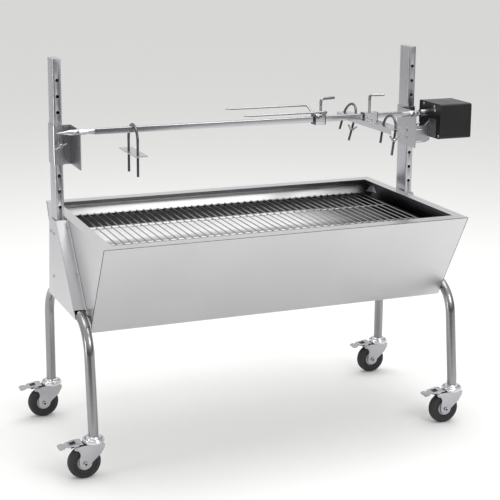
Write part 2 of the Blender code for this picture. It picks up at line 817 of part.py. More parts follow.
def make_motor_bracket(parent):
    """Z-shaped sheet: foot on the right flange, web across, and a face plate on the motor."""
    foot_x = FLANGE_X + FLANGE_SHEET / 2 + GAP
    face_x = MOTOR_X[0] - GAP
    web_y = -0.0105
    thick = 0.0025
    low, high = 0.7585, 0.806
    foot = box((foot_x, foot_x + thick), (web_y, 0.058), (low, 0.802))
    web_outline = [(foot_x, low), (face_x - 0.013, low), (face_x, low + 0.006), (face_x, 0.8275)]
    web_outline += [(face_x - 0.004, 0.8275)]
    centre = (face_x - 0.026, high + 0.0225)
    web_outline += circle(centre, 0.0225, 8, 0, -pi / 2, closed=False)[1:]
    web_outline += [(foot_x, high)]
    web = prism(web_outline, 1, web_y - thick, web_y)
    face = box((face_x - thick, face_x), (-0.050, web_y - 0.0005), (0.7765, 0.8275))
    bm = solid(foot, ("join", box((foot_x, foot_x + thick), (web_y - 0.001, web_y + 0.001), (low, 0.802))))
    bm = solid(bm, ("join", web), ("join", face))
    return add_object("motor_bracket", bm, ZINC, parent)


# ---------------------------------------------------------------- spit and its clamps


def make_spit(parent):
    """Square bar with turned ends: point and journal on the left, journal, collar and tang on the right."""
    half = SPIT_SIDE / 2
    bar = box((SQUARE_START_X, SQUARE_END_X), (-half, half), (-half, half))
    left = turned(
        [
            (0, SPIT_POINT_X),
            (0.0012, SPIT_POINT_X + 0.0005),
            (0.0058, CONE_BASE_X - 0.006),
            (JOURNAL_RADIUS, CONE_BASE_X),
            (JOURNAL_RADIUS, LEFT_JOURNAL_END_X),
            (0.0052, LEFT_JOURNAL_END_X + 0.002),
            (0.0052, LEFT_JOURNAL_END_X + 0.008),
            (half * 0.98, SQUARE_START_X + 0.001),
            (half * 0.98, SQUARE_START_X + 0.006),
            (0, SQUARE_START_X + 0.006),
        ],
        0,
        16,
    )
    right = turned(
        [
            (0, SQUARE_END_X - 0.006),
            (half * 0.98, SQUARE_END_X - 0.006),
            (half * 0.98, SQUARE_END_X + 0.001),
            (JOURNAL_RADIUS, SQUARE_END_X + 0.003),
            (JOURNAL_RADIUS, COLLAR_START_X),
            (COLLAR_RADIUS, COLLAR_START_X + 0.001),
            (COLLAR_RADIUS, COLLAR_END_X - 0.001),
            (COLLAR_RADIUS - 0.001, COLLAR_END_X),
            (0, COLLAR_END_X),
        ],
        0,
        16,
    )
    tang_half = TANG_SIDE / 2
    tang = box((COLLAR_END_X - 0.003, TANG_END_X), (-tang_half, tang_half), (-tang_half, tang_half))
    bm = solid(bar, ("join", left), ("join", right), ("join", tang))
    return add_object("spit", bm, STEEL, parent, (0, 0, SPIT_Z))


def l_screw(rise, reach, tip):
    """Rod from the tip straight up, bent over into a handle along +X. Its axis is Z through the origin."""
    corners = [(0, 0, tip), (0, 0, rise), (reach, 0, rise)]
    path = rounded_path(corners, 0.008, 6)
    return sweep(path, [0.004] * (len(path) - 1) + [0.0034], 10)


def make_meat_fork(parent):
    """Square collar with two prongs on V-shaped arms. Its origin is on the spit's axis."""
    half_x, side = FORK_COLLAR[0] / 2, FORK_COLLAR[1] / 2
    bore = CLAMP_BORE / 2
    bm = solid(
        box((-half_x, half_x), (-side, side), (-side, side)),
        ("cut", box((-0.05, 0.05), (-bore, bore), (-bore, bore))),
        ("cut", cylinder(2, (FORK_SCREW_X, 0), 0.004 + GAP, 0, 0.05, 16)),
    )
    tip_x = PRONG_TIP_X - FORK_X
    for sign in (-1, 1):
        corners = [
            (tip_x, sign * PRONG_Y, PRONG_RISE),
            (-0.005, sign * PRONG_Y, PRONG_RISE),
            (-0.005, sign * (side - 0.002), 0.004),
        ]
        path = rounded_path(corners, 0.010, 6)
        taper = path[0] + (path[1] - path[0]) * 0.12
        path = [path[0], taper] + path[1:]
        radii = [0.0007] + [PRONG_RADIUS] * (len(path) - 1)
        bm = solid(bm, ("join", sweep(path, radii, 8)))
    return add_object("meat_fork", bm, STEEL, parent, (FORK_X, 0, SPIT_Z))


def make_spine_clamp(parent):
    """U-bolt over the spit, plate under it and two nuts, all with their origin on the spit's axis."""
    place = (SPINE_X, 0, SPIT_Z)
    shoulder = SPIT_SIDE / 2 + ROD_RADIUS + 0.0015 - SPINE_HALF
    end = SPINE_ROD_END - SPIT_Z
    arch = circle((0, shoulder), SPINE_HALF, 11, 0, pi, closed=False)
    path = [(0, SPINE_HALF, end)] + [(0, y, z) for y, z in arch] + [(0, -SPINE_HALF, end)]
    add_object("spine_u_bolt", sweep(path, [ROD_RADIUS] * len(path), 10), ZINC, parent, place)

    size_x, size_y, thick = SPINE_PLATE
    plate_z = SPINE_PLATE_Z - SPIT_Z
    plate_span = (plate_z - thick / 2, plate_z + thick / 2)
    plate = box((-size_x / 2, size_x / 2), (-size_y / 2, size_y / 2), plate_span)
    for sign in (-1, 1):
        hole = cylinder(2, (0, sign * SPINE_HALF), ROD_RADIUS + 0.0006, plate_z - 0.01, plate_z + 0.01, 16)
        plate = solid(plate, ("cut", hole))
    add_object("spine_plate", plate, STEEL, parent, place)

    for name, sign in (("spine_nut_front", -1), ("spine_nut_rear", 1)):
        top = plate_z - thick / 2 - GAP
        nut = solid(
            cylinder(2, (0, 0), 0.0072, top - 0.006, top, 6),
            ("cut", cylinder(2, (0, 0), ROD_RADIUS + GAP, top - 0.02, top + 0.02, 16)),
        )
        add_object(name, nut, ZINC, parent, (SPINE_X, sign * SPINE_HALF, SPIT_Z))


def j_bolt_path(long_sign):
    """Arch over the channel in Y and Z, a long threaded leg on one side and a short one on the other."""
    arch = circle((0, J_BOLT_TOP - ROD_RADIUS - J_BOLT_HALF), J_BOLT_HALF, 11, 0, pi, closed=False)
    long_end, short_end = -0.084, -0.062
    path = [(0, y, z) for y, z in arch]
    ends = (long_end, short_end) if long_sign > 0 else (short_end, long_end)
    return [(0, J_BOLT_HALF, ends[0])] + path + [(0, -J_BOLT_HALF, ends[1])]


def wing_nut():
    """Wing nut about Z, its origin in its bore, wings up."""
    bm = cylinder(2, (0, 0), 0.0062, -0.004, 0.004, 14)
    for sign in (-1, 1):
        wing = [
            (sign * 0.0045, -0.003),
            (sign * 0.0125, 0.003),
            (sign * 0.0150, 0.0105),
            (sign * 0.0115, 0.0115),
            (sign * 0.0045, 0.003),
        ]
        bm = solid(bm, ("join", prism(wing, 1, -0.0015, 0.0015)))
    return solid(bm, ("cut", cylinder(2, (0, 0), ROD_RADIUS + GAP, -0.02, 0.02, 16)))


def make_leg_clamp(parent):
    """Sleeve with a channel bar across the spit, two leaning J-bolts in it and their wing nuts."""
    half_x, side = LEG_SLEEVE[0] / 2, LEG_SLEEVE[1] / 2
    bore = CLAMP_BORE / 2
    bar_x, bar_y, bar_z = BAR_SIZE
    bar_top = -side + 0.0005
    channel = solid(
        box((-bar_x / 2, bar_x / 2), (-bar_y / 2, bar_y / 2), (bar_top - bar_z, bar_top)),
        (
            "cut",
            box(
                (-bar_x / 2 + BAR_SHEET, bar_x / 2 - BAR_SHEET),
                (-bar_y, bar_y),
                (bar_top - bar_z - 0.01, bar_top - BAR_SHEET),
            ),
        ),
    )
    bm = solid(
        box((-half_x, half_x), (-side, side), (-side, side)),
        ("join", channel),
        ("cut", box((-0.05, 0.05), (-bore, bore), (-bore, bore))),
        ("cut", cylinder(2, (0, 0), 0.004 + GAP, 0, 0.05, 16)),
    )
    for y, tilt in J_BOLTS.values():
        for sign in (-1, 1):
            hole = cylinder(2, (0, y + sign * J_BOLT_HALF), ROD_RADIUS + 0.0022, -0.05, 0.05, 16)
            bmesh.ops.rotate(
                hole, verts=hole.verts, cent=(0, 0, bar_top), matrix=Matrix.Rotation(tilt, 3, "Y")
            )
            bm = solid(bm, ("cut", hole))
    place = (LEG_CLAMP_X, 0, SPIT_Z)
    add_object("leg_clamp_bar", bm, STEEL, parent, place)
    for name, (y, tilt) in J_BOLTS.items():
        long_sign = -1
        path = j_bolt_path(long_sign)
        pivot = Vector((0, 0, bar_top))
        turned_path = [Matrix.Rotation(tilt, 3, "Y") @ (Vector(p) - pivot) + pivot for p in path]
        rod = sweep(turned_path, [ROD_RADIUS] * len(path), 10)
        add_object(name, rod, ZINC, parent, (LEG_CLAMP_X, y, SPIT_Z))


def make_wing_nuts(parent):
    """One on the long leg of each J-bolt, on the leg's own leaning axis."""
    bar_top = SPIT_Z - LEG_SLEEVE[1] / 2 + 0.0005
    for name, (y, tilt) in J_BOLTS.items():
        drop = WING_NUT_DROP[name]
        place = (LEG_CLAMP_X - drop * sin(tilt), y - J_BOLT_HALF, bar_top - drop * cos(tilt))
        nut_name = name.replace("j_bolt", "wing_nut")
        add_object(nut_name, wing_nut(), ZINC, parent, place, (0, tilt, 0))


# ---------------------------------------------------------------- motor


def make_motor_housing(parent):
    wall = MOTOR_WALL
    corner = 0.006
    middle = (sum(MOTOR_Y) / 2, sum(MOTOR_Z) / 2)
    half = ((MOTOR_Y[1] - MOTOR_Y[0]) / 2, (MOTOR_Z[1] - MOTOR_Z[0]) / 2)
    outline = [(y + middle[0], z + middle[1]) for y, z in rounded_rectangle(*half, corner, 4)]
    inside = [
        (y + middle[0], z + middle[1])
        for y, z in rounded_rectangle(half[0] - wall, half[1] - wall, corner - wall, 2)
    ]
    bm = solid(
        prism(outline, 0, MOTOR_X[0], COVER_X),
        ("cut", prism(inside, 0, MOTOR_X[0] + wall, COVER_X + 0.01)),
        ("join", cylinder(0, (0, SPIT_Z), 0.011, MOTOR_X[0] + 0.001, GEAR_X[0] - 0.002, 20)),
        ("cut", cylinder(0, (0, SPIT_Z), 0.005 + RUNNING, MOTOR_X[0] - 0.01, GEAR_X[0] + 0.01, 20)),
        ("cut", cylinder(2, GLAND_XY, 0.0062, MOTOR_Z[0] - 0.01, MOTOR_Z[0] + 0.01, 18)),
    )
    add_object("motor_housing", bm, BLACK_PLASTIC, parent)

    low = COVER_X + GAP
    cover = solid(
        prism(outline, 0, low, MOTOR_X[1]),
        ("cut", prism(inside, 0, low - 0.01, MOTOR_X[1] - wall)),
        ("cut", box((low, MOTOR_X[1] + 0.01), SWITCH_Y, SWITCH_Z)),
    )
    add_object("motor_cover", cover, BLACK_PLASTIC, parent)


def gear(teeth, bore, low, high):
    """Spur gear about X: each tooth is a trapezium on the root circle, thin enough for backlash."""
    pitch = teeth * GEAR_MODULE / 2
    root = pitch - 1.25 * GEAR_MODULE
    tip = pitch + 0.85 * GEAR_MODULE
    step = 2 * pi / teeth
    outline = []
    for k in range(teeth):
        middle = k * step
        for radius, share in ((root, -0.31), (tip, -0.11), (tip, 0.11), (root, 0.31)):
            outline.append((radius * cos(middle + share * step), radius * sin(middle + share * step)))
    hole = cylinder(0, (0, 0), bore, low - 0.01, high + 0.01, 20)
    return solid(prism(outline, 0, low, high), ("cut", hole))


def pinion_yz():
    distance = GEAR_MODULE * (GEAR_TEETH + PINION_TEETH) / 2
    return distance * PINION_DIRECTION[0], SPIT_Z + distance * PINION_DIRECTION[1]


def pinion_turn():
    """The pinion's turn at rest that puts a tooth space where the gear's nearest tooth points."""
    angle = atan2(PINION_DIRECTION[1], PINION_DIRECTION[0])
    gear_step = 2 * pi / GEAR_TEETH
    past_tooth = (angle / gear_step) - round(angle / gear_step)
    pinion_step = 2 * pi / PINION_TEETH
    return angle + pi + past_tooth * pinion_step + pinion_step / 2


def make_drive(parent):
    """Coupling and its shaft, output gear, pinion and gearmotor can."""
    hub_start = 0.508
    socket = TANG_SIDE / 2 + GAP
    coupling = solid(
        cylinder(0, (0, 0), 0.011, hub_start, MOTOR_X[0] - 0.0008, 24),
        ("join", cylinder(0, (0, 0), 0.005, MOTOR_X[0] - 0.003, GEAR_X[1] + 0.004, 20)),
        ("cut", box((hub_start - 0.01, TANG_END_X + 0.001), (-socket, socket), (-socket, socket))),
    )
    add_object("drive_coupling", coupling, ZINC, parent, (0, 0, SPIT_Z))
    add_object("output_gear", gear(GEAR_TEETH, 0.005 + GAP, *GEAR_X), BRASS, parent, (0, 0, SPIT_Z))
    y, z = pinion_yz()
    pinion = solid(
        gear(PINION_TEETH, 0.0015, *GEAR_X),
        ("join", cylinder(0, (0, 0), 0.003, GEAR_X[0], GEAR_X[1] + 0.005, 16)),
    )
    add_object("motor_pinion", pinion, BRASS, parent, (0, y, z), (pinion_turn(), 0, 0))
    can = solid(
        cylinder(0, (0, 0), 0.018, GEAR_X[1] + 0.0035, 0.618, 20),
        ("cut", cylinder(0, (0, 0), 0.003 + RUNNING, GEAR_X[1], GEAR_X[1] + 0.010, 16)),
    )
    add_object("gearmotor", can, ZINC, parent, (0, y, z))


def make_switch_and_gland(parent):
    middle_y = sum(SWITCH_Y) / 2
    middle_z = sum(SWITCH_Z) / 2
    half_y = (SWITCH_Y[1] - SWITCH_Y[0]) / 2 - 0.0004
    outline = [(-0.004, -0.0100), (0.0030, -0.0100), (0.0008, 0.0), (0.0030, 0.0100), (-0.004, 0.0100)]
    rocker = prism([(x, z) for x, z in outline], 1, -half_y, half_y)
    pivot = (MOTOR_X[1] - 0.0042, middle_y, middle_z)
    add_object("power_rocker", rocker, BLACK_PLASTIC, parent, pivot, (0, radians(6), 0))

    gland = turned(
        [
            (0.0035, 0.006),
            (0.0058, 0.006),
            (0.0058, -GAP),
            (0.0090, -GAP),
            (0.0090, -0.0045),
            (0.0070, -0.0050),
            (0.0065, -0.0095),
            (0.0050, -0.0115),
            (0.0035, -0.0115),
        ],
        2,
        18,
    )
    add_object("cable_gland", gland, BLACK_PLASTIC, parent, (*GLAND_XY, MOTOR_Z[0]))


def main():
    clear_scene()
    base = bpy.data.objects.new("roaster", None)
    bpy.context.scene.collection.objects.link(base)
    base.location = (TROUGH_X, 0, 0)

    make_trough(base)
    make_pan(base)
    make_grate(base)
    for word, side in (("left", -1), ("right", 1)):
        make_housing(word + "_end_housing", side, base)
        make_post(word + "_post", side, base)
        make_leg_frame(word + "_leg_frame", side, base)
        for end, y in (("front", front_foot_y()), ("rear", REAR_LEG_Y)):
            make_caster(f"{end}_{word}_caster", side * LEG_X, y, base)
        make_clamp_screw(word + "_wing_screw", side, base)
    make_slider("left_slider", -1, JOURNAL_RADIUS + NOTCH_CLEARANCE, base)
    make_slider("right_slider", 1, COLLAR_RADIUS + NOTCH_CLEARANCE, base)
    make_motor_bracket(base)

    make_spit(base)
    make_spine_clamp(base)
    make_meat_fork(base)
    fork_top = l_screw(0.0545, 0.048, SPIT_SIDE / 2 + GAP)
    add_object(
        "fork_screw", fork_top, ZINC, base, (FORK_X + FORK_SCREW_X, 0, SPIT_Z), (0, 0, radians(15))
    )
    make_leg_clamp(base)
    clamp_top = l_screw(0.0590, 0.042, SPIT_SIDE / 2 + GAP)
    add_object("leg_clamp_screw", clamp_top, ZINC, base, (LEG_CLAMP_X, 0, SPIT_Z), (0, 0, radians(-10)))
    make_wing_nuts(base)

    make_motor_housing(base)
    make_drive(base)
    make_switch_and_gland(base)


main()
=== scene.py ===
"""Looks of the rotisserie spit roaster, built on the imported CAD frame. Metres, in the frame's own axes."""

from math import cos, pi, radians, sin

import bmesh
import bpy
from mathutils import Matrix, Vector


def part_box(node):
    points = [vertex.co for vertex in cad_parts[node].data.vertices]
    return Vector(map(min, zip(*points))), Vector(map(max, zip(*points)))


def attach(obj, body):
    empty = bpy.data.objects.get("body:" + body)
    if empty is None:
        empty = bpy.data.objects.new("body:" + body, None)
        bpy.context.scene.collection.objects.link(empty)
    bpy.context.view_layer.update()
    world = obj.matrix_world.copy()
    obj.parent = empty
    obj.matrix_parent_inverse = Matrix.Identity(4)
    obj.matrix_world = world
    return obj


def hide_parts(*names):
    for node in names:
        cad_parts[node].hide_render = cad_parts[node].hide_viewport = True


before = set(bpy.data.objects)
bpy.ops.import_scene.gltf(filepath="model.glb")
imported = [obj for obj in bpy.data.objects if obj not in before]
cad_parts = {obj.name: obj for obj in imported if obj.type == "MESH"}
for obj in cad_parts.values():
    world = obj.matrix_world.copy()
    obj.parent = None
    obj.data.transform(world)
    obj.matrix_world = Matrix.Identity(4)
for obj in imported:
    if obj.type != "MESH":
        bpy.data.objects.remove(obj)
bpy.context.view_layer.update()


def middle(node):
    low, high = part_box(node)
    return (Vector(low) + Vector(high)) / 2


MID_X = middle("trough").x
RIM_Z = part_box("trough")[1][2]
HALF_LENGTH = (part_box("trough")[1][0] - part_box("trough")[0][0]) / 2
SPIT_Z = middle("spit").z


# ---------------------------------------------------------------- materials


class Nodes:
    """The nodes of a material or of the world, made and linked in short calls."""

    def __init__(self, owner):
        owner.use_nodes = True
        self.owner = owner
        self.tree = owner.node_tree

    def add(self, kind, **settings):
        node = self.tree.nodes.new(kind)
        for key, value in settings.items():
            if key in node.inputs:
                node.inputs[key].default_value = value
            else:
                setattr(node, key, value)
        return node

    def link(self, out, into):
        self.tree.links.new(out, into)

    def place(self, scale=(1, 1, 1)):
        coordinates = self.add("ShaderNodeTexCoord")
        mapping = self.add("ShaderNodeMapping")
        mapping.inputs["Scale"].default_value = scale
        self.link(coordinates.outputs["Object"], mapping.inputs["Vector"])
        return mapping.outputs["Vector"]

    def noise(self, scale, detail=4.0, stretch=(1, 1, 1), distortion=0.0):
        node = self.add("ShaderNodeTexNoise", Scale=scale, Detail=detail, Distortion=distortion)
        self.link(self.place(stretch), node.inputs["Vector"])
        return node.outputs["Fac"]

    def ramp(self, factor, stops):
        node = self.add("ShaderNodeValToRGB")
        elements = node.color_ramp.elements
        while len(elements) < len(stops):
            elements.new(0.5)
        for element, (position, value) in zip(elements, stops):
            element.position = position
            colour = value if isinstance(value, tuple) else (value, value, value)
            element.color = (*colour, 1)
        self.link(factor, node.inputs["Fac"])
        return node.outputs["Color"]

    def bump(self, height, distance, strength):
        node = self.add("ShaderNodeBump", Distance=distance, Strength=strength)
        self.link(height, node.inputs["Height"])
        return node.outputs["Normal"]

    def span(self, value, low, high, at_low=0.0, at_high=1.0):
        """The value mapped from low..high to at_low..at_high, and clamped."""
        node = self.add("ShaderNodeMapRange", clamp=True)
        for key, number in (("From Min", low), ("From Max", high), ("To Min", at_low), ("To Max", at_high)):
            node.inputs[key].default_value = number
        self.link(value, node.inputs["Value"])
        return node.outputs["Result"]

    def math(self, operation, *values):
        node = self.add("ShaderNodeMath", operation=operation)
        for value, socket in zip(values, node.inputs):
            if isinstance(value, bpy.types.NodeSocket):
                self.link(value, socket)
            else:
                socket.default_value = value
        return node.outputs["Value"]

    def split(self, vector):
        node = self.add("ShaderNodeSeparateXYZ")
        self.link(vector, node.inputs["Vector"])
        return node.outputs

    def mix(self, factor, first, second):
        """Two colours, each a socket or a tuple, blended by the factor."""
        node = self.add("ShaderNodeMix", data_type="RGBA")
        self.link(factor, node.inputs["Factor"])
        for key, value in (("A", first), ("B", second)):
            if isinstance(value, tuple):
                node.inputs[key].default_value = (*value, 1)
            else:
                self.link(value, node.inputs[key])
        return node.outputs["Result"]

    def set(self, **values):
        shader = self.tree.nodes["Principled BSDF"]
        for key, value in values.items():
            socket = shader.inputs[key.replace("_", " ")]
            if isinstance(value, bpy.types.NodeSocket):
                self.link(value, socket)
            else:
                socket.default_value = (*value, 1) if isinstance(value, tuple) else value


def new_material(name):
    return Nodes(bpy.data.materials.new(name))


def metal(name, colour, rough, spread=0.04, stretch=(1, 1, 1), grain=300.0, scratch=0.000006, tint=0.05):
    """Ground or plated metal: fine grain drawn out along one axis, and a slow drift of tone."""
    nodes = new_material(name)
    fine = nodes.noise(grain, 3.0, stretch)
    broad = nodes.noise(3.5, 3.0, distortion=0.4)
    dark = tuple(channel * (1 - tint) for channel in colour)
    light = tuple(min(1.0, channel * (1 + tint)) for channel in colour)
    nodes.set(
        Base_Color=nodes.ramp(broad, ((0.3, dark), (0.7, light))),
        Metallic=1.0,
        Roughness=nodes.ramp(fine, ((0.3, rough - spread), (0.7, rough + spread))),
        Normal=nodes.bump(fine, scratch, 0.6),
    )
    return nodes.owner


def plastic(name, colour, rough, texture=0.00006, scale=1400.0):
    """Moulded plastic or rubber with a fine grained surface."""
    nodes = new_material(name)
    fine = nodes.noise(scale, 2.0)
    broad = nodes.noise(20.0, 3.0)
    nodes.set(
        Base_Color=nodes.ramp(broad, ((0.3, colour), (0.7, tuple(c * 1.25 for c in colour)))),
        Roughness=nodes.ramp(broad, ((0.3, rough - 0.05), (0.7, rough + 0.07))),
        Normal=nodes.bump(fine, texture, 0.8),
    )
    return nodes.owner


# Painted shade for the inner faces of the trough's ends and lip.
PAINTED_SHADE = (0.10, 0.10, 0.11)
# Black for the pan's painted shade and white for its painted reflection.
PAINTED_SHADE_BLACK = (0.004, 0.004, 0.004)
PAINTED_REFLECTION_WHITE = (1.0, 1.0, 1.0)
PAN_SHEET = 0.0015


def trough_steel():
    """Brushed sheet, with painted shade on the inner faces of the two ends and painted shadow on the inner
    faces of the lip.
    """
    nodes = new_material("trough_steel")
    at = nodes.split(nodes.place())
    facing = nodes.split(nodes.add("ShaderNodeNewGeometry").outputs["Normal"])
    # Painted shade on the inner faces of the two end walls.
    end_wall_shade = nodes.span(nodes.math("MULTIPLY", at["X"], facing["X"]), -0.20, -0.05, 1.0, 0.0)
    # Painted shadow on the inward faces of the lip, in its top 10 mm.
    lip_shadow = nodes.math(
        "MULTIPLY",
        nodes.span(at["Z"], RIM_Z - 0.0103, RIM_Z - 0.0099),
        nodes.span(nodes.math("MULTIPLY", at["Y"], facing["Y"]), -0.20, -0.05, 0.85, 0.0),
    )
    fine = nodes.noise(300.0, 3.0, ALONG_X)
    broad = nodes.noise(3.5, 3.0, distortion=0.4)
    unshaded = nodes.ramp(broad, ((0.3, 0.66), (0.7, 0.70)))
    nodes.set(
        Base_Color=nodes.mix(nodes.math("MAXIMUM", end_wall_shade, lip_shadow), unshaded, PAINTED_SHADE),
        Metallic=1.0,
        Roughness=nodes.ramp(fine, ((0.3, 0.28), (0.7, 0.31))),
        Normal=nodes.bump(fine, 0.000002, 0.5),
    )
    return nodes.owner


def pan_steel():
    """The pan: walls in painted black shade, a middle strip of painted shadow on the floor with painted pale
    reflection on both sides, and darker at the motor end.
    """
    nodes = new_material("pan_steel")
    at = nodes.split(nodes.place())
    floor_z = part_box("charcoal_pan")[0][2] + PAN_SHEET
    on_floor = nodes.span(at["Z"], floor_z + 0.0010, floor_z + 0.0040, 1.0, 0.0)
    # Where the floor gets painted reflection: both sides of a middle strip of painted shadow, fading towards
    # the motor end.
    unshaded = nodes.math(
        "MULTIPLY",
        nodes.span(at["X"], MID_X + 0.20, MID_X + 0.36, 1.0, 0.12),
        nodes.span(nodes.math("ABSOLUTE", at["Y"]), 0.030, 0.105),
    )
    dust = nodes.ramp(nodes.noise(60.0, 5.0, distortion=0.5), ((0.30, 0.84), (0.75, 0.95)))
    tone = nodes.math("MULTIPLY", nodes.math("MULTIPLY", on_floor, unshaded), dust)
    nodes.set(
        Base_Color=nodes.mix(tone, PAINTED_SHADE_BLACK, PAINTED_REFLECTION_WHITE),
        Metallic=0.25,
        Roughness=nodes.ramp(nodes.noise(90.0, 4.0), ((0.3, 0.45), (0.7, 0.60))),
        Normal=nodes.bump(nodes.noise(160.0, 4.0), 0.0002, 0.5),
    )
    return nodes.owner


ALONG_X = (0.02, 1, 1)
ALONG_Z = (1, 1, 0.02)

PANEL = trough_steel()
PAN = pan_steel()
HOUSING = metal("housing_steel", (0.64, 0.635, 0.65), 0.30, 0.015, ALONG_Z, grain=120.0, scratch=0.000001)
POST = metal("post_steel", (0.58, 0.57, 0.60), 0.28, 0.02, ALONG_Z, grain=120.0, scratch=0.000001)
TUBE = metal("tube_steel", (0.33, 0.33, 0.335), 0.24, grain=500.0)
SLIDER = metal("slider_steel", (0.50, 0.495, 0.51), 0.28, 0.02, ALONG_Z, grain=120.0, scratch=0.000001)
BAR = metal("spit_steel", (0.64, 0.63, 0.66), 0.24, 0.02, ALONG_X, grain=200.0, scratch=0.000002)
WIRE = metal("grate_wire", (0.45, 0.45, 0.46), 0.16, grain=800.0)
CHROME = metal("caster_chrome", (0.75, 0.75, 0.77), 0.08, spread=0.03, grain=200.0)
ZINC = metal("zinc_plate", (0.50, 0.50, 0.52), 0.20, grain=600.0)
STEEL_ROD = metal("rod_steel", (0.30, 0.30, 0.31), 0.20, grain=600.0)
ROD = metal("threaded_rod", (0.12, 0.12, 0.13), 0.30, grain=600.0)
BRASS = metal("gear_brass", (0.55, 0.42, 0.16), 0.30, grain=600.0)
RUBBER = plastic("tyre_rubber", (0.020, 0.020, 0.021), 0.55, 0.0001, 900.0)
HUB = plastic("hub_plastic", (0.50, 0.50, 0.50), 0.42)
MOTOR = plastic("motor_plastic", (0.003, 0.003, 0.0035), 0.34)


# ---------------------------------------------------------------- shapes


def prism(outline, axis, low, high):
    """The outline, as points in the two other axes, in their order, drawn out along one axis."""
    others = [k for k in range(3) if k != axis]
    bm = bmesh.new()
    ends = []
    for level in (low, high):
        ring = []
        for point in outline:
            place = [0, 0, 0]
            place[axis] = level
            place[others[0]], place[others[1]] = point
            ring.append(bm.verts.new(place))
        bm.faces.new(ring)
        ends.append(ring)
    count = len(outline)
    for k in range(count):
        n = (k + 1) % count
        bm.faces.new((ends[0][k], ends[0][n], ends[1][n], ends[1][k]))
    return bm


def arc(centre, radius, count, start, turn):
    """Points on an arc, both ends included."""
    angles = [start + turn * k / (count - 1) for k in range(count)]
    return [(centre[0] + radius * cos(angle), centre[1] + radius * sin(angle)) for angle in angles]


def circle(centre, radius, count):
    return arc(centre, radius, count + 1, 0, 2 * pi)[:-1]


def box(x, y, z):
    return prism([(x[0], y[0]), (x[1], y[0]), (x[1], y[1]), (x[0], y[1])], 2, *z)


def cylinder(axis, centre, radius, low, high, count=48):
    return prism(circle(centre, radius, count), axis, low, high)


def rounded(half_x, half_y, corner, steps=6):
    points = []
    for quarter, (sx, sy) in enumerate(((1, 1), (-1, 1), (-1, -1), (1, -1))):
        centre = (sx * (half_x - corner), sy * (half_y - corner))
        points += arc(centre, corner, steps, quarter * pi / 2, pi / 2)
    return points


def turned(profile, axis, count=72, start=0.0):
    """A closed profile of (radius, height) points turned about an axis through the origin."""
    bm = bmesh.new()
    others = [k for k in range(3) if k != axis]
    rings = []
    for radius, height in profile:
        ring = []
        for k in range(count if radius > 0 else 1):
            place = [0, 0, 0]
            place[axis] = height
            place[others[0]] = radius * cos(start + 2 * pi * k / count)
            place[others[1]] = radius * sin(start + 2 * pi * k / count)
            ring.append(bm.verts.new(place))
        rings.append(ring)
    for first, second in zip(rings, rings[1:] + rings[:1]):
        if len(first) == 1 and len(second) == 1:
            continue
        for k in range(count):
            corners = [first[k % len(first)], first[(k + 1) % len(first)]]
            corners += [second[(k + 1) % len(second)], second[k % len(second)]]
            bm.faces.new(list(dict.fromkeys(corners)))
    return bm


def sweep(points, radii, sides=20):
    """A rod along the points, with one radius for each of them."""
    points = [Vector(point) for point in points]
    tangents = []
    for k in range(len(points)):
        tangents.append((points[min(k + 1, len(points) - 1)] - points[max(k - 1, 0)]).normalized())
    side = tangents[0].orthogonal().normalized()
    bm = bmesh.new()
    rings = []
    for point, tangent, radius in zip(points, tangents, radii):
        side = (side - tangent * side.dot(tangent)).normalized()
        up = tangent.cross(side)
        ring = []
        for k in range(sides):
            angle = 2 * pi * k / sides
            ring.append(bm.verts.new(point + radius * (cos(angle) * side + sin(angle) * up)))
        rings.append(ring)
    for first, second in zip(rings, rings[1:]):
        for k in range(sides):
            n = (k + 1) % sides
            bm.faces.new((first[k], first[n], second[n], second[k]))
    bm.faces.new(rings[0])
    bm.faces.new(rings[-1])
    return bm


def rounded_path(corners, radius, steps=10):
    """The corners joined by straight runs, with each inner corner rounded to the radius."""
    corners = [Vector(corner) for corner in corners]
    path = [corners[0]]
    for before, corner, after in zip(corners, corners[1:], corners[2:]):
        into = (before - corner).normalized()
        out = (after - corner).normalized()
        half = into.angle(out) / 2
        reach = radius * cos(half) / sin(half)
        centre = corner + (into + out).normalized() * radius / sin(half)
        first = corner + into * reach - centre
        last = corner + out * reach - centre
        whole = first.angle(last)
        for k in range(steps + 1):
            share = k / steps
            spoke = first * sin((1 - share) * whole) + last * sin(share * whole)
            path.append(centre + spoke / sin(whole))
    path.append(corners[-1])
    return path


def moved(bm, offset, turn=0.0, about="Z"):
    matrix = Matrix.Translation(offset) @ Matrix.Rotation(turn, 4, about)
    bmesh.ops.transform(bm, matrix=matrix, verts=bm.verts)
    return bm


def merged(parts):
    """Several bmeshes as one, without joining their surfaces."""
    whole = bmesh.new()
    for part in parts:
        mesh = bpy.data.meshes.new("part")
        part.to_mesh(mesh)
        part.free()
        whole.from_mesh(mesh)
        bpy.data.meshes.remove(mesh)
    return whole


def piece(name, bm, material, body, *replaced, bevel=0.0, cuts=(), slot=None, angle=38):
    """A named piece on a body. cuts are bmeshes taken out of it, and bevel rounds its edges."""
    obj = raw_object(name, bm)
    for cutter_bm in cuts:
        cutter = raw_object(name + "_cutter", cutter_bm)
        modifier = obj.modifiers.new("cut", "BOOLEAN")
        modifier.solver = "EXACT"
        modifier.object = cutter
        apply_modifiers(obj)
        bpy.data.objects.remove(cutter)
    if bevel:
        modifier = obj.modifiers.new("bevel", "BEVEL")
        modifier.width = bevel
        modifier.segments = 3
        modifier.limit_method = "ANGLE"
        modifier.angle_limit = radians(40)
        apply_modifiers(obj)
    obj.data.materials.clear()
    obj.data.materials.append(material)
    obj.data.shade_smooth()
    obj.data.set_sharp_from_angle(angle=radians(angle))
    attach(obj, body)
    for node in replaced:
        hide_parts(node)
    return obj


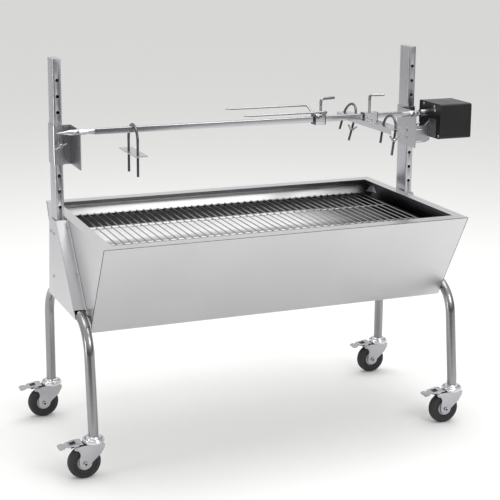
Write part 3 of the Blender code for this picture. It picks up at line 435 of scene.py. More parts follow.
def raw_object(name, bm):
    bmesh.ops.recalc_face_normals(bm, faces=bm.faces)
    mesh = bpy.data.meshes.new(name)
    bm.to_mesh(mesh)
    bm.free()
    obj = bpy.data.objects.new(name, mesh)
    bpy.context.scene.collection.objects.link(obj)
    return obj


def apply_modifiers(obj):
    bpy.context.view_layer.update()
    graph = bpy.context.evaluated_depsgraph_get()
    mesh = bpy.data.meshes.new_from_object(obj.evaluated_get(graph))
    obj.modifiers.clear()
    obj.data = mesh


def paint(material, *nodes):
    for node in nodes:
        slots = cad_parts[node].data.materials
        for k in range(len(slots)):
            slots[k] = material


# ---------------------------------------------------------------- threads and fasteners


PITCH_OF_THREAD, THREAD = 0.0011, 0.0004


def thread_points(start, end):
    """Points along a straight threaded stretch, two for each ridge."""
    start, end = Vector(start), Vector(end)
    count = max(2, int((end - start).length / PITCH_OF_THREAD) * 2)
    return [start.lerp(end, k / count) for k in range(count + 1)]


def ridges(radius, points, depth=THREAD):
    """A radius for each of the points, less the thread's depth at every second one."""
    return [radius - depth * (k % 2) for k in range(len(points))]


def pan_screw(radius=0.0045, height=0.0022):
    """A pan-head screw's head along +X with a cross recess, as (head, recess)."""
    profile = [(0, 0), (radius, 0), (radius, height * 0.35)]
    profile += [(radius * 0.86, height * 0.75), (radius * 0.5, height), (0, height)]
    head = turned(profile, 0, 28)
    arm, wide = radius * 0.62, radius * 0.16
    deep = (height * 0.55, height * 1.5)
    across = box((deep[0], deep[1]), (-arm, arm), (-wide, wide))
    upright = box((deep[0], deep[1]), (-wide, wide), (-arm, arm))
    return head, (across, upright)


def add_screw(name, place, direction, body, turn, radius=0.0045):
    """A pan-head screw on a surface at place, its head towards direction."""
    head, recess = pan_screw(radius)
    matrix = Matrix.Translation(place) @ Vector(direction).to_track_quat("X", "Z").to_matrix().to_4x4()
    matrix = matrix @ Matrix.Rotation(turn, 4, "X")
    for bm in (head, *recess):
        bmesh.ops.transform(bm, matrix=matrix, verts=bm.verts)
    piece(name, head, ZINC, body, cuts=recess, slot="zinc")


def hex_nut(axis, low, high, across=0.0125, bore=0.0):
    """A chamfered hexagon with its axis through the origin, as a closed bmesh."""
    corner = across / 2 / cos(pi / 6)
    height = high - low
    chamfer = height * 0.14
    profile = [(bore, low), (corner * 0.9, low), (corner, low + chamfer)]
    profile += [(corner, high - chamfer), (corner * 0.9, high), (bore, high)]
    return turned(profile, axis, 6)


# ---------------------------------------------------------------- trough, pan and grate


SEAM = ((0.1512, 0.3545), (0.2922, 0.6018))  # half width and height at the two ends of a corner seam
WIRE_COUNT = 45


def corner_fold(side, hand):
    """The small folded triangle of sheet in an upper inner corner of the trough, above the grate."""
    inner_x, low_z, high_z, sheet = HALF_LENGTH - 0.0017, RIM_Z - 0.0378, RIM_Z - 0.0112, 0.0010
    places = ((inner_x, 0.2300, low_z), (inner_x - 0.0160, 0.2670, low_z), (inner_x, 0.2560, high_z))
    bm = bmesh.new()
    ends = []
    for inward in (0.0, sheet):
        ring = [bm.verts.new((MID_X + side * (x - inward), hand * (y - inward), z)) for x, y, z in places]
        bm.faces.new(ring)
        ends.append(ring)
    for k in range(3):
        n = (k + 1) % 3
        bm.faces.new((ends[0][k], ends[0][n], ends[1][n], ends[1][k]))
    return bm


def add_trough():
    paint(PANEL, "trough")
    paint(PAN, "charcoal_pan")
    grate_low, grate_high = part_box("wire_grate")
    wire = grate_high[2] - grate_low[2]
    z = (grate_low[2] + grate_high[2]) / 2
    for word, side in (("left", -1), ("right", 1)):
        x = MID_X + side * (HALF_LENGTH - 0.0002)
        for row, hand in (("front", -1), ("rear", 1)):
            seam = sweep([(x, hand * half_y, seam_z) for half_y, seam_z in SEAM], [0.0009, 0.0009], 12)
            piece(f"{word}_{row}_seam", seam, ROD, "frame", slot="polished_steel")
    for row, y in (("front", -0.2925), ("rear", 0.2925)):
        ends = [(MID_X + side * (HALF_LENGTH - 0.001), y, RIM_Z - 0.0009) for side in (-1, 1)]
        piece(f"{row}_rim_seam", sweep(ends, [0.0008, 0.0008], 12), ROD, "frame", slot="polished_steel")
    for word, side in (("left", -1), ("right", 1)):
        for row, hand in (("front", -1), ("rear", 1)):
            fold = corner_fold(side, hand)
            piece(f"{word}_{row}_corner_fold", fold, BAR, "frame", slot="polished_steel")
    wires = []
    for k in range(WIRE_COUNT):
        x = grate_low[0] + wire / 2 + (grate_high[0] - grate_low[0] - wire) * k / (WIRE_COUNT - 1)
        wires.append(cylinder(1, (x, z), wire / 2, grate_low[1], grate_high[1], 12))
    cross_z = z - wire * 0.75
    inner_y = 0.090
    for y in (grate_low[1] + wire / 2 + 0.001, -inner_y, inner_y, grate_high[1] - wire / 2 - 0.001):
        wires.append(cylinder(0, (y, cross_z), wire * 0.56, grate_low[0], grate_high[0], 12))
    piece("round_grate", merged(wires), WIRE, "grate", "wire_grate", slot="chrome")


def add_housings():
    paint(HOUSING, "left_end_housing", "right_end_housing")
    spots = ((0.056, 0.580), (-0.040, 0.485), (-0.125, 0.395))
    top, low = (0.0645, 0.5965), (-0.1215, 0.3840)
    run = Vector((low[0] - top[0], low[1] - top[1])).normalized()
    ahead = Vector((run.y, -run.x)) * 0.0135
    for word, side in (("left", -1), ("right", 1)):
        x = MID_X + side * (HALF_LENGTH + 0.0019)
        for k, (y, z) in enumerate(spots):
            add_screw(f"{word}_flange_screw_{k}", (x, y - 0.006, z), (side, 0, 0), "frame", 0.4 + k)
        outer_x = MID_X + side * (HALF_LENGTH + 0.031)
        edges = (("bend", outer_x - side * 0.0012, 0.0), ("hem", x - side * 0.0004, 1.0))
        for edge, edge_x, share in edges:
            ends = [(edge_x, y + ahead.x * share, z + ahead.y * share) for y, z in (top, low)]
            bead = sweep(ends, [0.0014, 0.0014], 16)
            piece(f"{word}_housing_{edge}", bead, HOUSING, "frame", slot="post_steel")
        for k, (y, z) in enumerate(((0.080, 0.560), (0.112, 0.560), (0.096, 0.440))):
            add_screw(f"{word}_post_screw_{k}", (outer_x, y, z), (side, 0, 0), "frame", 1.1 * k, 0.005)


# ---------------------------------------------------------------- posts and legs


HOLE_COUNT, HOLE_PITCH, HOLE_RADIUS = 9, 0.04165, 0.0045
TOP_HOLE_Z = SPIT_Z + 0.1258
LEG_RADIUS = 0.013


def add_post(word):
    low, high = (Vector(corner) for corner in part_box(word + "_post"))
    centre = (low + high) / 2
    half_x, half_y = (high.x - low.x) / 2, (high.y - low.y) / 2
    outline = [(x + centre.x, y + centre.y) for x, y in rounded(half_x, half_y, 0.0028)]
    inner = [(x + centre.x, y + centre.y) for x, y in rounded(half_x - 0.002, half_y - 0.002, 0.001, 3)]
    holes = []
    for k in range(HOLE_COUNT):
        place = (centre.x, TOP_HOLE_Z - k * HOLE_PITCH)
        holes.append(cylinder(1, place, HOLE_RADIUS, low.y - 0.01, high.y + 0.01, 32))
    cuts = [prism(inner, 2, low.z - 0.01, high.z - 0.002), merged(holes)]
    tube = prism(outline, 2, low.z, high.z)
    node = word + "_post"
    piece(node + "_tube", tube, POST, "frame", node, cuts=cuts, bevel=0.0003, slot="post_steel")


def leg_path(x):
    """The tube's centre line, from the rear foot over the run in the housing to the front foot."""
    rear_y, run_z, bend = 0.225, 0.3875, 0.090
    front_bend_y, lean = -0.1075, radians(6.8)
    foot_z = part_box("left_leg_frame")[0][2]
    path = [(x, rear_y, foot_z), (x, rear_y, run_z - bend)]
    path += [(x, rear_y - bend + y, run_z - bend + z) for y, z in arc((0, 0), bend, 20, 0, pi / 2)[1:]]
    turn = pi / 2 - lean
    path += [(x, front_bend_y + y, run_z - bend + z) for y, z in arc((0, 0), bend, 20, pi / 2, turn)]
    low_z = foot_z + 0.018
    y, z = path[-1][1], path[-1][2]
    foot_y = y - (z - low_z) * sin(lean) / cos(lean)
    for share in (0.9, 0.97):
        path.append((x, y + (foot_y - y) * share, z + (low_z - z) * share))
    path += [(x, foot_y, low_z - 0.003), (x, foot_y, foot_z)]
    return path


def add_leg_frame(word):
    path = leg_path(middle(word + "_leg_frame").x)
    tube = sweep(path, [LEG_RADIUS] * len(path), 40)
    piece(word + "_leg_tube", tube, TUBE, "frame", word + "_leg_frame", slot="post_steel")


# ---------------------------------------------------------------- casters


WHEEL_R = middle("front_left_caster_tyre").z
TRAIL = 0.025
AXLE = (-TRAIL, WHEEL_R)
PEDAL_PIN = (-0.0465, 0.0828)


def tyre():
    half = 0.0128
    profile = [
        (0.0199, half - 0.0025),
        (0.0215, half - 0.0006),
        (0.0265, half - 0.0002),
        (0.0272, half - 0.0012),
        (0.0284, half - 0.0012),
        (0.0291, half),
        (WHEEL_R - 0.008, half),
        (WHEEL_R - 0.0045, half - 0.0008),
        (WHEEL_R - 0.0018, half - 0.003),
        (WHEEL_R - 0.0004, half - 0.006),
    ]
    for y in (0.0045, 0.0, -0.0045):
        profile += [(WHEEL_R, y + 0.0011), (WHEEL_R - 0.0012, y + 0.0005)]
        profile += [(WHEEL_R - 0.0012, y - 0.0005), (WHEEL_R, y - 0.0011)]
    profile += [(radius, -height) for radius, height in reversed(profile[:10])]
    return turned(profile, 1, 96)


def hub():
    half = 0.0120
    profile = [
        (0.0042, half + 0.0015),
        (0.0072, half + 0.0015),
        (0.0080, half + 0.0008),
        (0.0086, half - 0.0035),
        (0.0150, half - 0.0045),
        (0.0160, half - 0.0012),
        (0.0184, half - 0.0010),
        (0.0196, half - 0.0022),
    ]
    profile += [(radius, -height) for radius, height in reversed(profile)]
    return turned(profile, 1, 72)


def hub_ribs():
    ribs = []
    for side in (-1, 1):
        for k in range(8):
            rib = box((0.0082, 0.0158), (-0.0009, 0.0009), sorted((side * 0.0070, side * 0.0100)))
            bmesh.ops.transform(rib, matrix=Matrix.Rotation(pi / 2, 4, "X"), verts=rib.verts)
            ribs.append(moved(rib, (0, 0, 0), 2 * pi * k / 8, "Y"))
    return merged(ribs)


def swivel_ring():
    profile = [
        (0.0, 0.0890),
        (0.0180, 0.0886),
        (0.0235, 0.0888),
        (0.0262, 0.0905),
        (0.0276, 0.0930),
        (0.0284, 0.0955),
        (0.0282, 0.0975),
        (0.0270, 0.0985),
        (0.0272, 0.1003),
        (0.0262, 0.1022),
        (0.0246, 0.1030),
        (0.0226, 0.1022),
        (0.0216, 0.1000),
        (0.0214, 0.0930),
        (0.0, 0.0930),
    ]
    return turned(profile, 2, 96)


def cup():
    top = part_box("front_left_caster_cup")[1][2]
    profile = [
        (0, 0.0936),
        (0.0185, 0.0936),
        (0.0204, 0.0960),
        (0.0204, 0.0995),
        (0.0192, 0.1030),
        (0.0172, 0.1058),
        (0.0150, 0.1078),
        (0.0112, 0.1082),
        (0.0110, top),
        (0, top),
    ]
    return turned(profile, 2, 72)


def cheek_outline():
    return (
        [(0.0262, 0.0900), (0.0245, 0.0800), (0.0150, 0.0640)]
        + arc(AXLE, 0.0152, 15, radians(0), radians(-180))
        + [(-0.0400, 0.0560), (-0.0375, 0.0660), (-0.0395, 0.0740), (-0.0440, 0.0785)]
        + [(-0.0505, 0.0795), (-0.0530, 0.0830), (-0.0520, 0.0872), (-0.0300, 0.0905)]
    )


def cheek(side):
    near, far = sorted((side * 0.0155, side * 0.0175))
    return prism(cheek_outline(), 1, near, far)


def pedal():
    """The pressed plate with its dished tip, and the cuts for its slot, neck and rounded corners, as (plate,
    cuts); the two ears come from pedal_ear.
    """
    low, high = 0.0950, 0.0972
    drop = 0.0085
    outline = [
        (-0.0305, high - 0.0008),
        (-0.0330, high),
        (-0.0445, high),
        (-0.0720, high - 0.0052),
        (-0.0880, high - drop),
        (-0.0910, high - drop - 0.0012),
        (-0.0904, low - drop - 0.0010),
        (-0.0720, low - 0.0052),
        (-0.0445, low),
        (-0.0305, low - 0.0008),
    ]
    slot = [(x - 0.0545, y) for x, y in rounded(0.0072, 0.0100, 0.002, 5)]
    plate_cut = prism(slot, 2, 0.08, 0.11)
    corners = []
    for side in (-1, 1):
        corner = arc((-0.083, side * 0.010), 0.0083, 8, side * pi / 2, side * pi / 2)
        corner += [(-0.1, side * 0.0100), (-0.1, side * 0.03), (-0.083, side * 0.03)]
        corners.append(prism(corner, 2, 0.08, 0.11))
        neck = ((-0.0680, 0.03), (-0.0695, 0.0135), (-0.0745, 0.0120), (-0.0775, 0.0150), (-0.0785, 0.03))
        corners.append(prism([(x, side * y) for x, y in neck], 2, 0.08, 0.11))
    return prism(outline, 1, -0.018, 0.018), (plate_cut, *corners)


def pedal_ear(side):
    near, far = sorted((side * 0.0127, side * 0.0149))
    outline = [(-0.0385, 0.0958), (-0.0540, 0.0956)]
    outline += arc(PEDAL_PIN, 0.0036, 9, radians(200), radians(140))
    return prism(outline, 1, near, far)


def add_caster(name):
    centre = middle(name + "_cup")
    place = (centre.x, centre.y, 0)
    axle_place = (centre.x - TRAIL, centre.y, WHEEL_R)
    wheel_body, pedal_body = name + "_wheel", name + "_pedal"
    piece(name + "_race", moved(cup(), place), CHROME, "frame", name + "_cup", slot="chrome")
    piece(name + "_ring", moved(swivel_ring(), place), CHROME, name, name + "_fork", slot="chrome")
    for word, side in (("near", -1), ("far", 1)):
        piece(f"{name}_{word}_cheek", moved(cheek(side), place), ZINC, name, bevel=0.0006, slot="chrome")
    piece(name + "_tread", moved(tyre(), axle_place), RUBBER, wheel_body, name + "_tyre", slot="tyre")
    piece(name + "_rim", moved(hub(), axle_place), HUB, wheel_body, name + "_hub", slot="hub")
    piece(name + "_ribs", moved(hub_ribs(), axle_place), HUB, wheel_body, slot="hub")
    bolt = cylinder(1, (0, 0), 0.0040, -0.0205, 0.0205, 24)
    head = hex_nut(1, 0.0178, 0.0214, 0.0115)
    nut = hex_nut(1, -0.0214, -0.0178, 0.0115)
    washers = [cylinder(1, (0, 0), 0.0076, *ends, 32) for ends in ((0.0156, 0.0180), (-0.0180, -0.0156))]
    whole_bolt = moved(merged([bolt, head, nut, *washers]), axle_place)
    piece(name + "_bolt", whole_bolt, ZINC, name, name + "_axle", slot="zinc")
    sockets = [cylinder(1, (0, 0), 0.0030, *ends, 24) for ends in ((0.0200, 0.0217), (-0.0217, -0.0200))]
    piece(name + "_socket", moved(merged(sockets), axle_place), MOTOR, name, slot="zinc")
    shoe = [(-0.0455, 0.0940), (-0.0640, 0.0925), (-0.0640, 0.0895), (-0.0590, 0.0850), (-0.0480, 0.0870)]
    shoe_block = moved(prism(shoe, 1, -0.0105, 0.0105), place)
    piece(name + "_brake_shoe", shoe_block, MOTOR, pedal_body, bevel=0.0005, slot="zinc")
    plate, cuts = pedal()
    piece(
        name + "_lever",
        moved(plate, place),
        ZINC,
        pedal_body,
        name + "_brake_pedal",
        cuts=[moved(cut, place) for cut in cuts],
        bevel=0.0005,
        slot="zinc",
    )
    pin = cylinder(1, PEDAL_PIN, 0.0018, -0.0190, 0.0190, 20)
    ears = merged([pedal_ear(-1), pedal_ear(1), pin])
    piece(name + "_ears", moved(ears, place), ZINC, pedal_body, slot="zinc")


# ---------------------------------------------------------------- sliders, wing screws, bracket


def add_sliders():
    paint(SLIDER, "left_slider", "right_slider")
    low = Vector(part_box("right_slider")[0])
    x = low.x + 0.0028
    for k, z in enumerate((0.7915, 0.7700)):
        add_screw(f"bracket_screw_{k}", (x + 0.0026, 0.025, z), (1, 0, 0), "right_carriage", 0.5 + k)
        behind = (x - 0.0028, 0.025, z)
        add_screw(f"bracket_screw_back_{k}", behind, (-1, 0, 0), "right_carriage", 0.9 + k, 0.0052)


def wing_screw(radius=0.004):
    """A thumbscrew along -Y from its tip at the origin, with cast wings in its own XZ plane's X direction."""
    rod_points = thread_points((0, 0, 0), (0, -0.020, 0))
    rod = sweep(rod_points, ridges(radius, rod_points, 0.00045), 24)
    profile = [(0, -0.0165), (0.0056, -0.0165), (0.0062, -0.0180)]
    profile += [(0.0056, -0.0285), (0.0044, -0.0300), (0, -0.0300)]
    hub_part = turned(profile, 1, 36)
    wings = []
    for side in (-1, 1):
        outline = [(side * 0.003, -0.0170), (side * 0.0095, -0.0215)]
        outline += arc((side * 0.0128, -0.0290), 0.0040, 9, -pi / 2 + side * radians(10) + pi, -side * pi)
        outline += [(side * 0.003, -0.0275)]
        wings.append(prism(outline, 2, -0.0016, 0.0016))
    return rod, hub_part, wings


def add_wing_screw(word):
    box_low, box_high = (Vector(corner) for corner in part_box(word + "_wing_screw"))
    place = Vector(((box_low.x + box_high.x) / 2, box_high.y, (box_low.z + box_high.z) / 2))
    rod, hub_part, wings = wing_screw()
    body = word + "_wing_screw"
    tilt = radians(-25)
    piece(word + "_screw_rod", moved(rod, place, tilt, "Y"), ZINC, body, body, slot="zinc")
    piece(word + "_screw_hub", moved(hub_part, place, tilt, "Y"), ZINC, body, slot="zinc")
    for k, wing in enumerate(wings):
        piece(f"{word}_screw_wing_{k}", moved(wing, place, tilt, "Y"), ZINC, body, bevel=0.0009, slot="zinc")


def add_bracket():
    """The sheet bracket, with two pressed ribs across its web."""
    paint(SLIDER, "motor_bracket")
    low, high = (Vector(corner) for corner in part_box("motor_bracket"))
    web_y = -0.0131
    for k, z in enumerate((low.z + 0.0055, low.z + 0.0385)):
        ends = [(high.x - reach, web_y, z) for reach in (0.049, 0.0475, 0.0275, 0.026)]
        rib = sweep(ends, [0.0008, 0.0028, 0.0028, 0.0008], 24)
        piece(f"bracket_rib_{k}", rib, CHROME, "right_carriage", slot="zinc")


# ---------------------------------------------------------------- spit and clamps


HALF_SPIT = 0.0075
L_SCREW_X = {"fork_screw": MID_X + 0.1988, "leg_clamp_screw": MID_X + 0.348}
BAR_TOP = SPIT_Z - 0.0105
# for each J-bolt its place in Y, its tilt and how far the wing nut hangs below the bar
J_BOLTS = {"front": (-0.120, radians(8), 0.032), "rear": (0.120, radians(16), 0.040)}
J_RADIUS, J_HALF_WIDTH = 0.0035, 0.036


def add_spit():
    low, high = (Vector(corner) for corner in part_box("spit"))
    start, end = MID_X - 0.440, MID_X + 0.4475
    bar = box((start, end), (-HALF_SPIT, HALF_SPIT), (SPIT_Z - HALF_SPIT, SPIT_Z + HALF_SPIT))
    piece("spit_bar", bar, BAR, "spit_drive", "spit", bevel=0.0009, slot="bar_steel")
    point = [
        (0, low.x),
        (0.0008, low.x + 0.0006),
        (0.0060, MID_X - 0.506),
        (0.0070, MID_X - 0.500),
        (0.0070, MID_X - 0.462),
        (0.0054, MID_X - 0.459),
        (0.0054, MID_X - 0.456),
        (0.0074, start),
        (0.0076, start + 0.003),
        (0, start + 0.003),
    ]
    drive = [
        (0, end - 0.003),
        (0.0076, end - 0.003),
        (0.0074, end + 0.001),
        (0.0070, end + 0.003),
        (0.0070, MID_X + 0.4745),
        (0.0082, MID_X + 0.4748),
        (0.0085, MID_X + 0.4755),
        (0.0085, MID_X + 0.4980),
        (0.0079, MID_X + 0.4990),
        (0, MID_X + 0.4990),
    ]
    for name, profile in (("spit_point", point), ("spit_journal", drive)):
        piece(name, moved(turned(profile, 0, 48), (0, 0, SPIT_Z)), BAR, "spit_drive", slot="bar_steel")
    tang = box((MID_X + 0.4985, high.x), (-0.00425, 0.00425), (SPIT_Z - 0.00425, SPIT_Z + 0.00425))
    piece("spit_tang", tang, BAR, "spit_drive", bevel=0.0004, slot="bar_steel")


def add_spine_clamp():
    low, high = (Vector(corner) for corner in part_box("spine_u_bolt"))
    x, radius, half = (low.x + high.x) / 2, 0.0035, 0.040
    shoulder = high.z - radius - half
    foot = low.z + 0.0003
    arch = [(x, y, z + shoulder) for y, z in arc((0, 0), half, 33, 0, pi)]
    right = thread_points((x, half, foot), (x, half, shoulder - 0.006))
    left = thread_points((x, -half, shoulder - 0.006), (x, -half, foot))
    radii = ridges(radius, right) + [radius] * len(arch) + ridges(radius, left)
    hoop = sweep(right + arch + left, radii, 18)
    piece("spine_hoop", hoop, ROD, "spine_bolt", "spine_u_bolt", slot="rod_zinc")
    paint(BAR, "spine_plate")
    for word, y in (("front", -half), ("rear", half)):
        nut_low, nut_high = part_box("spine_nut_" + word)
        nut = moved(hex_nut(2, nut_low[2], nut_high[2], 0.0125, 0.0037), (x, y, 0))
        piece(f"spine_{word}_hexagon", nut, ZINC, "spine_plate", "spine_nut_" + word, slot="zinc")


def add_l_screw(name, node, body, turn, reach):
    low, high = (Vector(corner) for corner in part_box(node))
    foot_z = low.z
    place = Vector((L_SCREW_X[node], 0, 0))
    bend_z = high.z - 0.004
    upright = thread_points((0, 0, foot_z), (0, 0, bend_z - 0.016))
    radii = ridges(0.004, upright)
    arm = rounded_path([(0, 0, bend_z - 0.0155), (0, 0, bend_z), (reach, 0, bend_z)], 0.008)
    path = upright + arm[:-1] + [Vector((reach - 0.0008, 0, bend_z)), Vector((reach, 0, bend_z))]
    radii += [0.004] * (len(arm) - 1) + [0.004, 0.0033]
    piece(name, moved(sweep(path, radii, 24), place, turn), STEEL_ROD, body, node, slot="zinc")


def add_collar_ends(name, x, half_x, side, body):
    """Dark rings round the two open ends of a square collar on the spit."""
    for word, end in (("left", x - half_x), ("right", x + half_x)):
        outer = side + 0.0003
        ring = box((end - 0.0010, end + 0.0010), (-outer, outer), (SPIT_Z - outer, SPIT_Z + outer))
        hole = box((end - 0.01, end + 0.01), (-0.0079, 0.0079), (SPIT_Z - 0.0079, SPIT_Z + 0.0079))
        piece(f"{name}_{word}_edge", ring, ROD, body, cuts=(hole,), slot="bar_steel")


def add_fork():
    x = MID_X + 0.1925
    half_x, side, bore = 0.015, 0.014, 0.008
    block = box((x - half_x, x + half_x), (-side, side), (SPIT_Z - side, SPIT_Z + side))
    hole = box((x - 0.05, x + 0.05), (-bore, bore), (SPIT_Z - bore, SPIT_Z + bore))
    screw_hole = cylinder(2, (L_SCREW_X["fork_screw"], 0), 0.0043, SPIT_Z, SPIT_Z + 0.05, 32)
    cuts = (hole, screw_hole)
    piece("fork_collar", block, BAR, "fork", "meat_fork", cuts=cuts, bevel=0.0012, slot="bar_steel")
    add_collar_ends("fork_collar", x, half_x, side, "fork")
    tip_x, prong_y, rise = MID_X - 0.056, 0.0665, SPIT_Z + 0.029
    for word, hand in (("front", -1), ("rear", 1)):
        corners = [(tip_x, hand * prong_y, rise), (x - 0.005, hand * prong_y, rise)]
        corners.append((x - 0.005, hand * (side - 0.002), SPIT_Z + 0.004))
        path = rounded_path(corners, 0.010, 14)
        taper = [path[0].lerp(path[1], share) for share in (0.0, 0.006, 0.05, 0.10)]
        radii = [0.0004, 0.0009, 0.0022, 0.0030] + [0.003] * (len(path) - 1)
        piece(f"fork_{word}_prong", sweep(taper + path[1:], radii, 24), STEEL_ROD, "fork", slot="bar_steel")


def j_points(y, tilt, long_end, short_end):
    """The rod's points and radii, from the short threaded leg over the bend to the long one."""
    half = J_HALF_WIDTH
    centre_z = 0.0217 - J_RADIUS - half
    path = thread_points((0, half, short_end), (0, half, centre_z - 0.004))
    count = len(path)
    path += [Vector((0, py, pz + centre_z)) for py, pz in arc((0, 0), half, 33, 0, pi)]
    bend = len(path)
    path += thread_points((0, -half, centre_z - 0.004), (0, -half, long_end))
    radii = ridges(J_RADIUS, path)
    radii[count:bend] = [J_RADIUS] * (bend - count)
    pivot = Vector((0, 0, BAR_TOP - SPIT_Z))
    turn = Matrix.Rotation(tilt, 3, "Y")
    place = Vector((L_SCREW_X["leg_clamp_screw"], y, SPIT_Z))
    return [turn @ (point - pivot) + pivot + place for point in path], radii


def wing_nut():
    profile = [(0.0037, -0.004), (0.0062, -0.004), (0.0066, -0.003)]
    profile += [(0.0052, 0.0035), (0.0048, 0.004), (0.0037, 0.004)]
    core = turned(profile, 2, 32)
    wings = []
    for side in (-1, 1):
        outline = [(side * 0.0040, -0.0030), (side * 0.0110, 0.0010)]
        outline += arc((side * 0.0122, 0.0078), 0.0034, 9, -pi / 2, side * pi)
        outline += [(side * 0.0040, 0.0030)]
        wings.append(prism(outline, 1, -0.0013, 0.0013))
    return core, wings


def add_leg_clamp():
    paint(BAR, "leg_clamp_bar")
    add_collar_ends("leg_sleeve", L_SCREW_X["leg_clamp_screw"], 0.0205, 0.011, "leg_clamp")
    for end, (y, tilt, drop) in J_BOLTS.items():
        path, radii = j_points(y, tilt, -0.084, -0.062)
        rod = sweep(path, radii, 18)
        piece(f"{end}_j_rod", rod, ROD, "j_bolt_" + end, "leg_j_bolt_" + end, slot="rod_zinc")
        below = Vector((-drop * sin(tilt), -J_HALF_WIDTH, -drop * cos(tilt)))
        place = Vector((L_SCREW_X["leg_clamp_screw"], y, BAR_TOP)) + below
        core, wings = wing_nut()
        body = "wing_nut_" + end
        piece(f"{end}_nut_core", moved(core, place, tilt, "Y"), ZINC, body, "leg_" + body, slot="zinc")
        for k, wing in enumerate(wings):
            piece(f"{end}_nut_wing_{k}", moved(wing, place, tilt, "Y"), ZINC, body, bevel=0.0007, slot="zinc")


# ---------------------------------------------------------------- motor


def add_motor():
    paint(MOTOR, "motor_housing", "motor_cover", "power_rocker", "cable_gland")
    paint(BRASS, "output_gear", "motor_pinion")
    paint(ZINC, "gearmotor", "drive_coupling")
    face_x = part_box("motor_housing")[0][0]
    spots = ((0.026, 0.863), (-0.034, 0.861), (-0.037, 0.851), (-0.060, 0.781), (0.042, 0.781))
    for k, (y, z) in enumerate(spots):
        place = (face_x + 0.0002, y, z)
        add_screw(f"motor_face_screw_{k}", place, (-1, 0, 0), "right_carriage", 0.7 * k, 0.0042)
    end_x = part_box("motor_cover")[1][0]
    for k, (y, z) in enumerate(((-0.059, 0.863), (0.043, 0.863), (-0.059, 0.782), (0.043, 0.782))):
        place = (end_x - 0.0002, y, z)
        add_screw(f"motor_cover_screw_{k}", place, (1, 0, 0), "right_carriage", 0.5 * k, 0.0038)


# ---------------------------------------------------------------- room, light and camera


FLOOR_REACH = 90.0
FLAG_LEAN = 0.26  # how far the flag's edge moves in X for each metre in Y


def add_floor():
    """A pale floor out to the horizon. Metal sees its far front left part dark, like a studio's flag."""
    bm = bmesh.new()
    ring = ((-1, -1), (1, -1), (1, 1), (-1, 1))
    bm.faces.new([bm.verts.new((x * FLOOR_REACH, y * FLOOR_REACH, 0)) for x, y in ring])
    floor = raw_object("floor", bm)
    nodes = new_material("floor_paint")
    at = nodes.split(nodes.place())
    from_edge = nodes.math("MULTIPLY_ADD", at["Y"], FLAG_LEAN, at["X"])
    flagged = nodes.math("MULTIPLY", nodes.span(from_edge, -0.50, -0.58), nodes.span(at["Y"], -1.5, -2.2))
    seen_by_metal = nodes.ramp(flagged, ((0.0, 0.80), (1.0, 0.11)))
    to_camera = nodes.add("ShaderNodeLightPath").outputs["Is Camera Ray"]
    nodes.set(Base_Color=nodes.mix(to_camera, seen_by_metal, (0.90, 0.90, 0.89)), Roughness=0.9)
    floor.data.materials.append(nodes.owner)


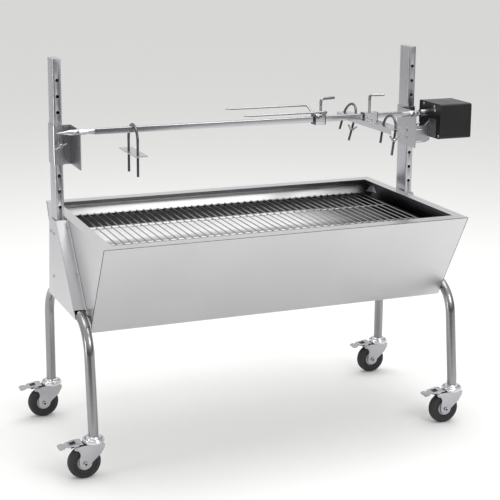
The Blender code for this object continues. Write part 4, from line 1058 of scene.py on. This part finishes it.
def add_world():
    """Studio surroundings: dark in front, bright behind and overhead, and plain where the camera sees them."""
    world = bpy.data.worlds.new("studio")
    bpy.context.scene.world = world
    nodes = Nodes(world)
    nodes.tree.nodes.clear()
    towards = nodes.split(nodes.add("ShaderNodeTexCoord").outputs["Generated"])
    front = nodes.ramp(towards["Z"], ((0.0, 0.10), (0.16, 0.14), (0.34, 0.80), (0.7, 1.0)))
    back = nodes.ramp(towards["Z"], ((0.0, 0.30), (0.06, 0.85), (0.4, 1.0), (0.7, 1.0)))
    surround = nodes.mix(nodes.span(towards["Y"], 0.0, 0.4), front, back)
    lit = nodes.add("ShaderNodeBackground", Strength=0.80)
    nodes.link(surround, lit.inputs["Color"])
    seen = nodes.add("ShaderNodeBackground", Color=(0.80, 0.80, 0.79, 1))
    choice = nodes.add("ShaderNodeMixShader")
    nodes.link(nodes.add("ShaderNodeLightPath").outputs["Is Camera Ray"], choice.inputs["Fac"])
    nodes.link(lit.outputs["Background"], choice.inputs[1])
    nodes.link(seen.outputs["Background"], choice.inputs[2])
    output = nodes.add("ShaderNodeOutputWorld")
    nodes.link(choice.outputs["Shader"], output.inputs["Surface"])


def add_area(name, place, aim, size, power):
    data = bpy.data.lights.new(name, "AREA")
    data.shape = "RECTANGLE"
    data.size, data.size_y = size
    data.energy = power
    light = bpy.data.objects.new(name, data)
    bpy.context.scene.collection.objects.link(light)
    light.location = place
    light.rotation_euler = (Vector(aim) - Vector(place)).to_track_quat("-Z", "Y").to_euler()


def add_lights():
    add_area("overhead", (0.2, 0.4, 3.2), (0, 0, 0.5), (3.0, 2.2), 60)
    add_area("rear_wall_box", (0.85, -2.3, 2.15), (-0.1, 0.29, 0.58), (1.3, 0.9), 24)
    add_area("left_strip", (-3.4, -0.5, 0.7), (-0.5, 0, 0.6), (0.7, 1.3), 16)


CAMERA_PLACE = (-1.3204, -3.1939, 1.3841)
YAW, PITCH, ROLL = radians(22.122), radians(12.373), radians(0.428)
LENS_MM, LENS_SHIFT = 93.64, -0.10


def add_camera():
    data = bpy.data.cameras.new("camera")
    data.lens = LENS_MM
    data.sensor_width = 36.0
    data.shift_y = LENS_SHIFT
    camera = bpy.data.objects.new("camera", data)
    bpy.context.scene.collection.objects.link(camera)
    camera.location = CAMERA_PLACE
    turn = Matrix.Rotation(-YAW, 3, "Z") @ Matrix.Rotation(pi / 2 - PITCH, 3, "X")
    camera.rotation_euler = (turn @ Matrix.Rotation(ROLL, 3, "Z")).to_euler()
    bpy.context.scene.camera = camera


bpy.context.scene.view_settings.view_transform = "Standard"
add_camera()
add_world()
add_lights()
add_floor()
add_trough()
add_housings()
for side_word in ("left", "right"):
    add_post(side_word)
    add_leg_frame(side_word)
    add_wing_screw(side_word)
    for end_word in ("front", "rear"):
        add_caster(f"{end_word}_{side_word}_caster")
add_sliders()
add_bracket()
add_spit()
add_spine_clamp()
add_fork()
add_l_screw("fork_thumb_rod", "fork_screw", "fork_screw", radians(15), 0.048)
add_l_screw("clamp_thumb_rod", "leg_clamp_screw", "leg_clamp_screw", radians(-10), 0.042)
add_leg_clamp()
add_motor()
